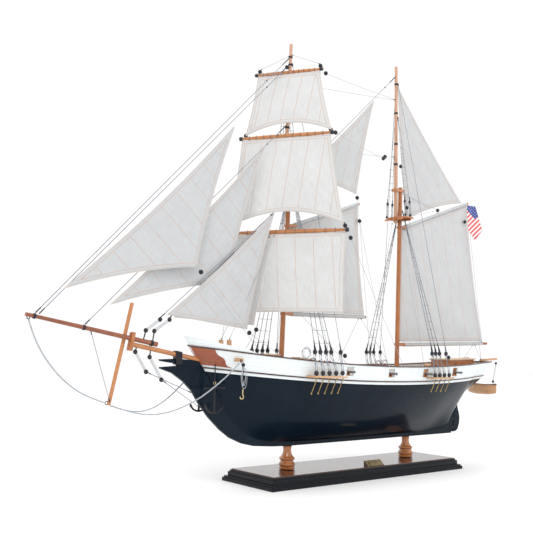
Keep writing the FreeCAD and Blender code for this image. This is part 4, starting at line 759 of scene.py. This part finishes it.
# yard, half head, half foot, drop, hollow of the foot, foot ahead, panel width and belly
SQUARES = {
    "topgallant_sail": ("topgallant_yard", 53.0, 73.0, 103.0, 17.0, 6.0, 0.0215, 4.0),
    "topsail": ("topsail_yard", 75.0, 96.0, 148.0, 22.0, 14.0, 0.0265, 5.0),
    "course": ("course_yard", 98.0, 92.0, 130.0, 1.0, 26.0, 0.0300, 4.0),
}
for number, (name, (yard, head, foot, drop, hollow, ahead, panel, belly)) in enumerate(SQUARES.items()):
    gap = YARDS[yard][1] + 0.6
    shift = BRACE_SHIFT * ahead
    corners = [on_yard(yard, -head, -gap), on_yard(yard, head, -gap),
               on_yard(yard, foot + shift, -drop, ahead), on_yard(yard, shift - foot, -drop, ahead)]
    sail(name, corners, (0, 2, hollow, 2), (0, 3), cloth(name + "_canvas", panel), belly, FORWARD_WAY,
         seed=number)

JIBS = {
    "jib_outer": ((-524, 0, 281), (-253, 0, 552), (-327, -14, 324), (7, 5, 6), 0.034),
    "jib_middle": ((-456, 0, 263), (-193, 0, 528), (-258, 5, 306), (6, 5, 5), 0.036),
    "jib_inner": ((-366, -1, 253), (-173, -1, 424), (-231, -11, 236), (4, 3, 0), 0.030),
    "jib_stay": ((-352, 3, 250), (-175, 3, 385), (-207, 3, 243), (4, 2, 0), 0.030),
}
# the jib canvas is painted darker than the square sails: painted shade
for number, (name, (tack, head, clew, hollows, panel)) in enumerate(JIBS.items()):
    sail(name, (tack, head, clew), hollows, (0, 1), cloth(name + "_canvas", panel, JIB_TONE_PAINTED_SHADE), 2.5,
         PORT_SIDE if clew[1] < 0 else (0, 1, 0), seed=number + 4, cross_cut=True)

LUFF_GAP = 5.8
HUNG, SPREAD = ("hung", 3.0), ("stretched", 3.0)
# name, canvas, corners, hollows, seam edge, panel, belly, what it is held by, how, and cell
AFT_SAILS = [
    ("topmast_staysail", "staysail_canvas", ((-119, 0, 494), (54, 0, 656), (10, 0, 478)), (3, 3, 3), (1, 2),
     0.026, 2.5, ["standing_rigging"], HUNG),
    ("fore_gaff_sail", "fore_gaff_canvas",
     ((fore_x(400) + LUFF_GAP, 0, 402), (14, 0, 455.5), (31, 0, 268.5), (fore_x(268) + LUFF_GAP, 0, 268)),
     (0, 4, 0, 0), (1, 2), 0.030, 3.0, ["gaffs", "booms"], SPREAD),
    ("main_gaff_sail", "main_gaff_canvas",
     ((main_x(428) + LUFF_GAP, 0, 428), (316, 0, 494.5), (362, 0, 229), (main_x(224) + LUFF_GAP, 0, 224)),
     (0, 5, 0, 0), (1, 2), 0.033, 3.0, ["gaffs", "booms"], ("stretched", 3.5)),
    ("gaff_topsail", "gaff_topsail_canvas",
     ((main_top_x(694) + 4.4, 0, 694), (main_x(447) + 15.5, 0, 447), (300, 0, 499)), (0, 7, 5), (0, 2),
     0.030, 2.0, ["topmasts", "gaffs"], HUNG),
]
for number, row in enumerate(AFT_SAILS):
    name, canvas, corners, hollows, seams, panel, belly, hung_from, (held, cell) = row
    # the aft sails' canvas is painted darker than the square sails: painted shade
    sail(name, corners, hollows, seams, cloth(canvas, panel, AFT_TONE_PAINTED_SHADE), belly, PORT_SIDE,
         cell, seed=number + 8)


# ---------------------------------------------------------------- flag
def flag_point(x, z):
    return Vector((x, 2.0 - 0.5 * (x - 322.0), z))


def flag():
    """Bunting that hangs aslant: two straight sides and a foot of two runs."""
    top_left, top_right = flag_point(323, 497), flag_point(337, 496)
    low_left, low_middle, low_right = flag_point(313, 461), flag_point(337, 428), flag_point(350, 449)
    corner = 0.62
    normal = (top_right - top_left).cross(low_left - top_left).normalized()
    if normal.y > 0:
        normal = -normal
    down = Vector((0.47, -0.235, -0.53)).normalized()
    down = (down - normal * down.dot(normal)).normalized()
    along = normal.cross(down).normalized()
    ns, nt = 34, 52
    surface, flat_points, canton = [], [], []
    for j in range(nt + 1):
        t = j / nt
        for i in range(ns + 1):
            s = i / ns
            foot = (low_left.lerp(low_middle, s / corner) if s < corner
                    else low_middle.lerp(low_right, (s - corner) / (1 - corner)))
            head = top_left.lerp(top_right, s)
            p = head.lerp(foot, t)
            fold = 1.5 * t * math.sin(2.2 * math.pi * s + 1.2 * t) + 0.6 * math.sin(7 * s + 5 * t)
            surface.append(p + normal * (fold + 0.6))
            u, v = (p - low_left).dot(along), (p - low_left).dot(down)
            flat_points.append((v, u))
            canton.append(1000.0 if abs(u) > 25.0 and v < 13.0 else 0.0)
    half = np.full(len(surface), FLAG_HALF)
    cloth, rim = cloth_piece("flag", surface, ns + 1, normal, half, np.array(flat_points),
                             {"canton": np.array(canton)}, flag_paint())
    hem = Shape()
    hem.tube(rim, 0.3, 6, True)
    edging = hem.make("flag_edge", "canvas_rope", slot="flag_cloth")


flag()

# ---------------------------------------------------------------- deadeyes, blocks and threads
threads, heavy, dark, discs, blocks = Shape(), Shape(), Shape(), Shape(), Shape()
DISC = [(0, -1.6), (2.5, -1.6), (3.2, -1.3), (3.45, -0.8), (3.05, -0.35), (3.05, 0.35), (3.45, 0.8),
        (3.2, 1.3), (2.5, 1.6), (0, 1.6)]
BLOCK = [(0, -1.6), (2.0, -1.6), (2.5, -1.25), (2.7, -0.7), (2.35, -0.35), (2.35, 0.35), (2.7, 0.7),
         (2.5, 1.25), (2.0, 1.6), (0, 1.6)]
KNOT = [(0, -0.75), (0.75, -0.4), (0.95, 0), (0.75, 0.4), (0, 0.75)]


def deadeye(point, size=1.0, way=(0, 1, 0)):
    """A grooved disc with its strop and three small bosses where the lanyard comes through."""
    discs.turned([(r * size, h * size) for r, h in DISC], point, way, 18)
    dark.ring(point, way, 3.3 * size, 0.5 * size)
    for turn in range(3):
        angle = math.radians(90 + 120 * turn)
        spot = Vector(point) + 1.7 * size * Vector((math.cos(angle), 0, math.sin(angle)))
        for side in (-1, 1):
            dark.turned([(0, 0), (0.7 * size, 0.1), (0.5 * size, 0.45 * size), (0, 0.5 * size)],
                        spot + Vector((0, side * 1.5 * size, 0)), (0, side, 0), 8)


def pulley(point, size=1.0, way=(0.3, 1, 0)):
    blocks.turned([(r * size, h * size) for r, h in BLOCK], point, way, 12)
    dark.ring(point, way, 2.6 * size, 0.42 * size)


def seized(shape, a, b, radius, ends=(12.0, 8.0), sag=0.0, wrap=0.42):
    """A thread from a to b with thread wound round it near both ends."""
    a, b = Vector(a), Vector(b)
    run = (b - a).length
    shape.tube(sagging(a, b, sag, 10 if sag else 2), radius)
    if ends[0]:
        dark.wrapped(a, mid(a, b, ends[0] / run), radius + wrap, radius + 0.6 * wrap)
    if ends[1]:
        dark.wrapped(b, mid(b, a, ends[1] / run), radius + wrap, radius + 0.6 * wrap)


def shroud_gang(upper_xs, hounds, first, last, spacing, side):
    """Shrouds to the masthead with ratlines knotted across them."""
    heads = Vector((hounds[0], side * 4.6, hounds[1]))
    feet = [Vector((x, side * UPPER_Y, UPPER_Z + 3.6)) for x in upper_xs]
    for foot in feet:
        seized(heavy, foot, heads, 0.55, (14.0, 14.0), wrap=0.5)
        dark.wrapped(foot, mid(foot, heads, 8.5 / (heads - foot).length), 2.0, 0.9)
    steps = int((last - first) / spacing)
    for step in range(steps + 1):
        z = first + spacing * step
        t = (z - feet[0].z) / (heads.z - feet[0].z)
        crossings = [mid(foot, heads, t) for foot in feet]
        path = [crossings[0] + (crossings[0] - crossings[1]).normalized() * 1.5]
        for a, b in zip(crossings, crossings[1:]):
            path += [a, mid(a, b, 0.5) - Vector((0, 0, 0.5 + 0.3 * wobble(step, a.x)))]
        path += [crossings[-1], crossings[-1] + (crossings[-1] - crossings[-2]).normalized() * 1.5]
        threads.tube(path, 0.28, 5)
        for point in crossings:
            threads.turned(KNOT, point, heads - feet[0], 6)


def lanyard_set(low, high, lower_size=3.4, upper_size=3.4, spread=1.7):
    """Three parts of lanyard between two deadeyes, rove from face to face."""
    low, high = Vector(low), Vector(high)
    for part, offset in enumerate((-spread, 0.0, spread)):
        lift = 0.55 * (spread - abs(offset))
        a = low + Vector((offset, 1.75 if part % 2 else -1.75, lower_size * 0.5 + lift))
        b = high + Vector((offset, -1.75 if part % 2 else 1.75, -upper_size * 0.5 - lift))
        threads.tube([a, mid(a, b, 0.25), mid(a, b, 0.75), b], 0.38, 5)
    outer = Vector((spread, 0, 0))
    threads.wrapped(mid(low, high, 0.82) + outer, mid(low, high, 0.90) + outer, 0.7, 0.7)


for side in (-1, 1):
    shroud_gang(FORE_SHROUD_XS[:4], (fore_x(468) + 3.0, 468.0), 217, 432, 19.5, side)
    shroud_gang(MAIN_SHROUD_XS[:3], (main_x(462) + 1.5, 462.0), 217, 430, 14.2, side)
    seized(threads, (FORE_SHROUD_XS[4], side * UPPER_Y, UPPER_Z + 3.6),
           (fore_top_x(676) + 2, side * 2.6, 676), 0.42, (10.0, 6.0), wrap=0.7)
    seized(threads, (MAIN_SHROUD_XS[3], side * UPPER_Y, UPPER_Z + 3.6),
           (main_top_x(700) + 2, side * 2.4, 700), 0.42, (10.0, 6.0), wrap=0.7)
    for low_xs, high_xs, z in ((FORE_DEAD_XS, FORE_SHROUD_XS, 171.6), (MAIN_DEAD_XS, MAIN_SHROUD_XS, 166.6)):
        for low_x, high_x in zip(low_xs, high_xs):
            low_z = z - (0.004 * (low_x + 150) if low_x < 0 else 0.0)
            low, high = (low_x, side * DEADEYE_Y, low_z), (high_x, side * UPPER_Y, UPPER_Z)
            deadeye(low, 1.08)
            deadeye(high, 1.06)
            lanyard_set(low, high)
    for axis, top_z, head_z in ((fore_x, FORE_TOP_Z, 640), (main_x, MAIN_TOP_Z, 636)):
        head = Vector((axis(top_z) - 9.0, side * 3.2, head_z))
        feet = []
        for dx in (-10.0, 3.0):
            low = Vector((axis(top_z) + dx, side * 22.5, top_z + 5.2))
            high = Vector((axis(top_z) + dx, side * 21.0, top_z + 30.0))
            deadeye(low, 0.72)
            deadeye(high, 0.7)
            lanyard_set(low, high, 2.4, 2.4, 1.1)
            feet.append(high + rise(2.6))
            seized(threads, feet[-1], head, 0.42, (7.0, 8.0), wrap=0.5)
        for step in range(9):
            t = (11.4 + 12.5 * step) / (head_z - top_z - 32.6)
            a, b = (mid(foot, head, t) for foot in feet)
            threads.tube([a, mid(a, b, 0.5) - rise(0.3), b], 0.26, 5)
            for point in (a, b):
                threads.turned(KNOT, point, head - feet[0], 6)

# stays down to the jib boom and bowsprit, and the stay between the masts
STAYS = [
    ((fore_top_x(684) - 3.4, 0, 684), (-561, 0, boom_z(-561) + 4.6)),
    ((fore_top_x(672) - 3.6, 0, 672), (-556, 0, boom_z(-556) + 4.4)),
    ((fore_top_x(569) - 3.8, 0, 569), (-492, 0, boom_z(-492) + 4.4)),
    ((fore_x(458) - 12, -1.0, 440), (-378, -1.0, 247.5)),
    ((fore_x(458) - 12, 3.0, 440), (-360, 3.0, 248.0)),
    ((main_top_x(711) - 3.0, 0, 711), (fore_x(486) + 5.5, 0, 480)),
]
for head, foot in STAYS:
    seized(heavy, head, foot, 0.5, (20.0, 10.0), wrap=0.5)
    dark.turned([(0, -1.6), (0.9, -1.0), (1.4, 0), (0.9, 1.0), (0, 1.6)],
                mid(head, foot, 0.11), Vector(foot) - Vector(head), 8)

STRIKER_FOOT = (-449.5, 3.4, 131.5)
# pairs of hearts, upper then lower, set up with lanyards
HEARTS = [(-377.5, -1.0, 245.5), (-400, -1.0, 229.5), (-359.5, 3.0, 246.0), (-384, 3.0, 229.0),
          (-415, 0, 199.5), (-397, 0, 172.0), (-392, 0, 192.5), (-374.5, -4.5, 161.0)]
for high, low in zip(HEARTS[::2], HEARTS[1::2]):
    run = (Vector(low) - Vector(high)).normalized()
    aside = Vector((run.z, 0, -run.x))
    for point in (high, low):
        deadeye(point, 0.92)
    for offset in (-1.6, 0.0, 1.6):
        threads.tube([Vector(high) + aside * offset, Vector(low) + aside * offset], 0.32, 5)
for start, end in ((HEARTS[1], (-403, -0.5, 216.8)), (HEARTS[3], (-386.5, 2.5, 214.5)),
                   (HEARTS[4], (-413.5, 0, 205.5)), (HEARTS[6], (-391.0, 0, 201.0))):
    dark.wrapped(start, end, 1.1, 0.9)
seized(heavy, HEARTS[5], (-321.8, 0, 142.0), 0.5, (9.0, 5.0))
seized(heavy, HEARTS[7], (-306.5, -2.6, 119.5), 0.5, (9.0, 5.0))
seized(threads, (-483, 0, boom_z(-483) - 3.0), STRIKER_FOOT, 0.4, (5.0, 5.0))

# ---------------------------------------------------------------- running rigging
CATHEAD_X, CATHEAD_Y = -268.0, 53.4
ANCHOR_RING = (-294.0, 20.0, 156.0)
# blocks that lines lead to
PENDANT_HIGH = (118.0, -6.2, 543.0)
PENDANT_LOW = (132.5, -8.0, 468.0)
BRACE_PORT = (74.0, -4.0, 551.0)
BRACE_STARBOARD = (87.0, 4.0, 558.0)
STAYSAIL_CLEW = (10.0, -3.0, 471.0)
STAYSAIL_BLOCK = (13.0, -6.0, 430.0)
THROAT_BLOCK = (224.0, -4.0, 474.5)
PEAK_BLOCK = (305.0, -5.0, 461.5)
OUTER_CLEW = (-319.0, -14.0, 316.5)
MIDDLE_CLEW = (-253.0, 6.6, 300.0)
INNER_CLEW = (-226.0, -11.0, 230.5)
STAY_CLEW = (-202.0, 3.0, 236.0)
SHEET_BLOCK = (333.0, -20.0, 191.0)
PULLEYS = [on_yard("topgallant_yard", -50, 5.6), on_yard("topgallant_yard", 54, 5.2),
           on_yard("topsail_yard", -71, 6.0, -4.5), on_yard("topsail_yard", 74, 5.8, -4.5),
           on_yard("course_yard", 97, 6.4), on_yard("course_yard", -97, 6.4),
           on_yard("topgallant_yard", 63, -8.0), on_yard("topsail_yard", 83, -1.0),
           on_yard("course_yard", 106, -13.0),
           (fore_top_x(671) - 7.0, 0, 668), PENDANT_HIGH, PENDANT_LOW, BRACE_PORT, BRACE_STARBOARD,
           STAYSAIL_CLEW, STAYSAIL_BLOCK, THROAT_BLOCK, PEAK_BLOCK, OUTER_CLEW, MIDDLE_CLEW, INNER_CLEW,
           STAY_CLEW, SHEET_BLOCK, (-85.0, -74.0, 198.0), (170.0, -72.0, 197.0)]
for point in PULLEYS:
    pulley(point, 1.2)
for side in (-1, 1):
    pulley((CATHEAD_X, side * CATHEAD_Y, 183.2), way=(0, 1, 0))

PEAK = (321.0, 0, 500.5)
CAP = (fore_top_x(640) - 1.0, -3.6, 640.0)
TAUT = [
    ((fore_top_x(690), -2.9, 690), on_yard("topgallant_yard", 54, 8.4)),
    ((fore_top_x(690), 2.9, 690), on_yard("topgallant_yard", -50, 8.6)),
    (CAP, on_yard("topsail_yard", 74, 9.0, -4.5)),
    ((CAP[0], 3.6, 640), on_yard("topsail_yard", -71, 9.2, -4.5)),
    ((fore_x(508), -4.2, 508), on_yard("course_yard", 97, 9.6)),
    ((fore_x(508), 4.2, 508), on_yard("course_yard", -97, 9.6)),
    ((fore_x(440) + 8, -9, 440), pin(-108.0, -67)),
    ((fore_x(440) + 8, 9, 440), pin(-108.0, 67)),
    (PENDANT_HIGH, PENDANT_LOW),
    (PENDANT_LOW, pin(141.0, -67)),
    ((main_x(440) - 9, -10, 440), pin(112.0, -67)),
    ((main_x(440) - 9, 10, 440), pin(112.0, 67)),
    ((main_x(498) + 4, -2.0, 494), THROAT_BLOCK),
    (THROAT_BLOCK, (main_x(452) + 17, -6, 452)),
    (STAYSAIL_CLEW, STAYSAIL_BLOCK),
    (STAYSAIL_BLOCK, pin(-20.0, -67)),
    (STAYSAIL_BLOCK, pin(20.0, -67)),
    (PEAK_BLOCK, SHEET_BLOCK),
    (PEAK_BLOCK, (PEAK[0] - 4, -2.4, PEAK[2] - 4)),
    ((-263, -10.5, 219.3), (-176.0, -6.0, 386.0)),
    ((-263, 10.5, 219.3), (-176.0, 6.0, 386.0)),
]
SLACK = [
    (on_yard("topgallant_yard", 63, -8.0), (main_top_x(668) - 3.4, -1.2, 668)),
    (on_yard("topgallant_yard", -57), (main_top_x(668) - 3.4, 1.4, 668)),
    (on_yard("topsail_yard", 83, -1.0), BRACE_PORT),
    (on_yard("topsail_yard", -77), BRACE_STARBOARD),
    (BRACE_PORT, (main_top_x(560) - 4, -1.4, 556)),
    (BRACE_STARBOARD, (main_top_x(560) - 4, 1.4, 560)),
    (on_yard("course_yard", 106, -13.0), pin(60.0, -67.0)),
    (on_yard("course_yard", -101), pin(60.0, 67.0)),
    ((PEAK[0] - 4, 2.6, PEAK[2] - 4), pin(324.0, 26.0, 0.0)),
    ((359.0, -2.9, 226), flag_point(323, 480)),
    (OUTER_CLEW, pin(-232.0, -52.0, 0.0)),
    (MIDDLE_CLEW, pin(-236.0, 50.0, 0.0)),
    (INNER_CLEW, pin(-198.0, -57.5, 0.0)),
    (STAY_CLEW, pin(-186.0, 61.0, 0.0)),
    ((21.0, -2.6, 261.5), pin(30.0, -67)),
    ((21.0, 2.6, 261.5), pin(30.0, 67)),
    ((337.0, -2.8, 221), SHEET_BLOCK),
    ((337.0, 2.8, 221), pin(327.0, 20.0, 0.0)),
]
running = Shape()
for a, b in TAUT:
    seized(running, a, b, 0.33, (3.0, 4.0), wrap=0.4)
for a, b in SLACK:
    seized(running, a, b, 0.33, (3.0, 3.0), 0.006 * (Vector(b) - Vector(a)).length, wrap=0.4)

# coils of spare thread hung on the pins: loops of uneven size
COILS = [(-160.0, -68.0, 202.0, 8.5), (-112.0, 62.0, 186.0, 7.0), (150.0, 62.0, 184.0, 6.5),
         (-134.0, 62.0, 187.0, 7.0), (133.0, 62.0, 183.0, 6.0), (-140.0, -61.0, 189.0, 6.0)]
for number, (x, y, z, radius) in enumerate(COILS):
    points = []
    for step in range(97):
        t = step / 96 * 2 * math.pi * 4.5
        reach = radius * (0.92 + 0.16 * wobble(number, 0.31 * t))
        tilt = 0.35 * math.sin(0.22 * t + number)
        points.append((x + reach * math.cos(t),
                       y + tilt * reach * math.cos(t) * 0.8 + 0.9 * math.sin(0.5 * t),
                       z + reach * (1.0 + 0.12 * math.cos(0.4 * t)) * math.sin(t) - 0.5))
    running.tube(points, 0.36, 5)

# the gaffs and booms run in sleeves of the sails' own canvas, stitched along their length
SLEEVED = [("fore_gaff", (fore_x(405) + 8.2, 0, 405.5), (18.0, 0, 461.5), 7.0, 3.0, 3.7),
           ("main_gaff", (main_x(431) + 8.2, 0, 431.5), (321.0, 0, 500.5), 7.0, 6.0, 3.7),
           ("fore_boom", (fore_x(264) + 8.2, 0, 263.0), (35.0, 0, 264.5), 8.0, 3.5, 3.7),
           ("main_boom", (main_x(219) + 8.2, 0, 218.5), (377.0, 0, 224.5), 8.0, 15.0, 3.9)]
for number, (name, inner_end, outer_end, gap, tip, radius) in enumerate(SLEEVED):
    a, b = Vector(inner_end), Vector(outer_end)
    run = (b - a).length - gap - tip
    along = (b - a).normalized()
    start = a + along * gap
    profile = [(radius * 0.80, 0.0)]
    steps = round(run / 4)
    for step in range(steps + 1):
        swell = 0.22 * wobble(number, 0.9 * step) - 0.1
        profile.append((radius * (1 - 0.12 * step / steps) + swell, 0.3 + (run - 0.6) * step / steps))
    profile.append((radius * 0.72, run))
    sleeve = Shape()
    sleeve.turned(profile, start, along, 14)
    sleeve.make(name + "_sleeve", "sleeve", slot="canvas")
    for side in (-1, 1):
        aside = Vector((0, side * (radius - 0.75), -1.9 if "gaff" in name else 1.9))
        dark.tube([start + along * t * run + aside for t in (0.01, 0.5, 0.99)], 0.2, 5)

# the square sails' heads are bent to their yards with turns of thread
for yard, head in (row[:2] for row in SQUARES.values()):
    radius = YARDS[yard][1] + 0.35
    for part in range(13):
        at = -head + 2 * head * part / 12
        dark.ring(on_yard(yard, at), PORT_WAY, radius, 0.3, 6, 16)
    for end in (-1, 1):
        dark.wrapped(on_yard(yard, end * (head + 0.5)), on_yard(yard, end * (head + 5.0)),
                     radius, radius * 0.97)
turns = 9
spiral = []
for step in range(turns * 14 + 1):
    t = step / (turns * 14)
    angle = 2 * math.pi * turns * t
    reach = YARDS["topgallant_yard"][1] + 0.4
    spiral.append(on_yard("topgallant_yard", -49 + 40 * t, reach * math.sin(angle), reach * math.cos(angle)))
running.tube(spiral, 0.3, 5)

# the boat's falls, which swing with it
BOAT_X, BOAT_TOP, DAVIT_Y = 362.0, 144.5, 33.0
FALL_GAP = rise(2.2)               # from a block's middle to where its line starts
boat_lines, boat_blocks = Shape(), Shape()
for side in (-1, 1):
    low = Vector((BOAT_X, side * (DAVIT_Y - 7), 150.5))
    high = Vector((BOAT_X, side * DAVIT_Y, rail_z(320) - 3.4))
    for point in (low, high):
        boat_blocks.turned([(r * 0.85, h * 0.81) for r, h in BLOCK], point, (1, 0, 0), 12)
    for offset in (-0.9, 0.9):
        shift = Vector((offset, 0, 0))
        boat_lines.tube(sagging(high + shift - FALL_GAP, low + shift + FALL_GAP, 0.3), 0.36)
    boat_lines.tube([low - FALL_GAP, (BOAT_X, low.y, BOAT_TOP - 2.0)], 0.36)
    boat_lines.wrapped(high - rise(2.6), high - rise(5.6), 1.0, 0.7)
    boat_lines.wrapped(low + rise(2.6), low + rise(5.4), 1.0, 0.7)
boat_lines.make("boat_fall_lines", "pale_thread", body="boat_body", replaces=["boat_falls"])
boat_blocks.make("boat_fall_blocks", "black_fittings", body="boat_body", slot="black_fittings")

# a brass hook and loops of thread on each cathead tackle, a brass ring at each anchor
for word, side in (("port", -1), ("starboard", 1)):
    x, y = CATHEAD_X, side * CATHEAD_Y
    hook = Shape()
    bend = [(x, y, z) for z in (148.0, 144.0, 141.0)]
    for step in range(9):
        angle = math.radians(20 - 26 * step)
        bend.append((x - 1.4 + 3.0 * math.cos(angle), y, 137.4 + 3.0 * math.sin(angle)))
    hook.tube(bend, 0.82, 8)
    hook.ring((x, y, 149.0), (1, 0, 0), 1.5, 0.45)
    hook.make(word + "_hook", "bright_brass", body=word + "_tackle_body", slot="brass")
    loops = Shape()
    for number, (reach, drop) in enumerate(((4.2, 26.0), (3.1, 21.0), (5.0, 30.0))):
        points = []
        for step in range(25):
            t = 2 * math.pi * step / 24
            points.append((x + 0.4 * number + reach * math.sin(t), y + side * (1.2 + 0.4 * number),
                           179.0 - drop / 2 * (1 - math.cos(t))))
        loops.tube(points, 0.34, 5)
    loops.wrapped((x, y, 153.8), (x, y, 158.5), 1.6, 1.2)
    loops.make(word + "_tackle_loops", "pale_thread", body=word + "_tackle_body")
    ring = Shape()
    ring.ring((ANCHOR_RING[0], side * ANCHOR_RING[1], ANCHOR_RING[2]), (1, 0, 0), 2.4, 0.5)
    ring.make(word + "_anchor_ring", "bright_brass", body=word + "_anchor_body", slot="brass")

heavy.make("shrouds_and_stays", "thread", replaces=["standing_rigging"])
threads.make("light_rigging", "thread")
running.make("running_lines", "pale_thread", replaces=["running_rigging"])
dark.make("seizings_and_strops", "dark_thread")
discs.make("deadeye_discs", "black_fittings", slot="black_fittings", replaces=["deadeyes"])
blocks.make("block_shells", "black_fittings", slot="black_fittings", replaces=["pulley_blocks"])

# ---------------------------------------------------------------- stage and light
FLOOR_RADIUS, FLOOR_SIDES = 9.0, 96
mesh = bpy.data.meshes.new("floor")
edge = [FLOOR_RADIUS * way for way in circle(Vector((1, 0, 0)), Vector((0, 1, 0)), FLOOR_SIDES)]
mesh.from_pydata([tuple(point) for point in edge], [], [tuple(range(FLOOR_SIDES))])
floor = bpy.data.objects.new("floor", mesh)
scene.collection.objects.link(floor)
pale = Paint("pale_floor", Roughness=0.9)
pale.colour(pale.ramp(pale.noise(pale.place(), 3.0), (0.3, (0.97,) * 3), (0.7, (0.98,) * 3)))
floor.data.materials.append(pale.material)

world = bpy.data.worlds.new("studio")
world.use_nodes = True
world.node_tree.nodes["Background"].inputs["Color"].default_value = (1.0, 1.0, 1.0, 1.0)
world.node_tree.nodes["Background"].inputs["Strength"].default_value = 1.02
scene.world = world
scene.view_settings.view_transform = "Standard"


LIGHT_AIM = Vector((0.0, 0.0, 0.3))


def softbox(name, place, size, power):
    light = bpy.data.lights.new(name, "AREA")
    light.shape = "DISK"
    light.size = size
    light.energy = power
    obj = bpy.data.objects.new(name, light)
    obj.location = place
    obj.rotation_euler = (LIGHT_AIM - Vector(place)).to_track_quat("-Z", "Y").to_euler()
    scene.collection.objects.link(obj)


softbox("key", (-1.6, -1.9, 2.4), 1.6, 26.0)
softbox("fill", (1.8, -2.2, 1.2), 1.8, 10.0)
softbox("top", (0.0, 0.4, 2.8), 1.5, 12.0)
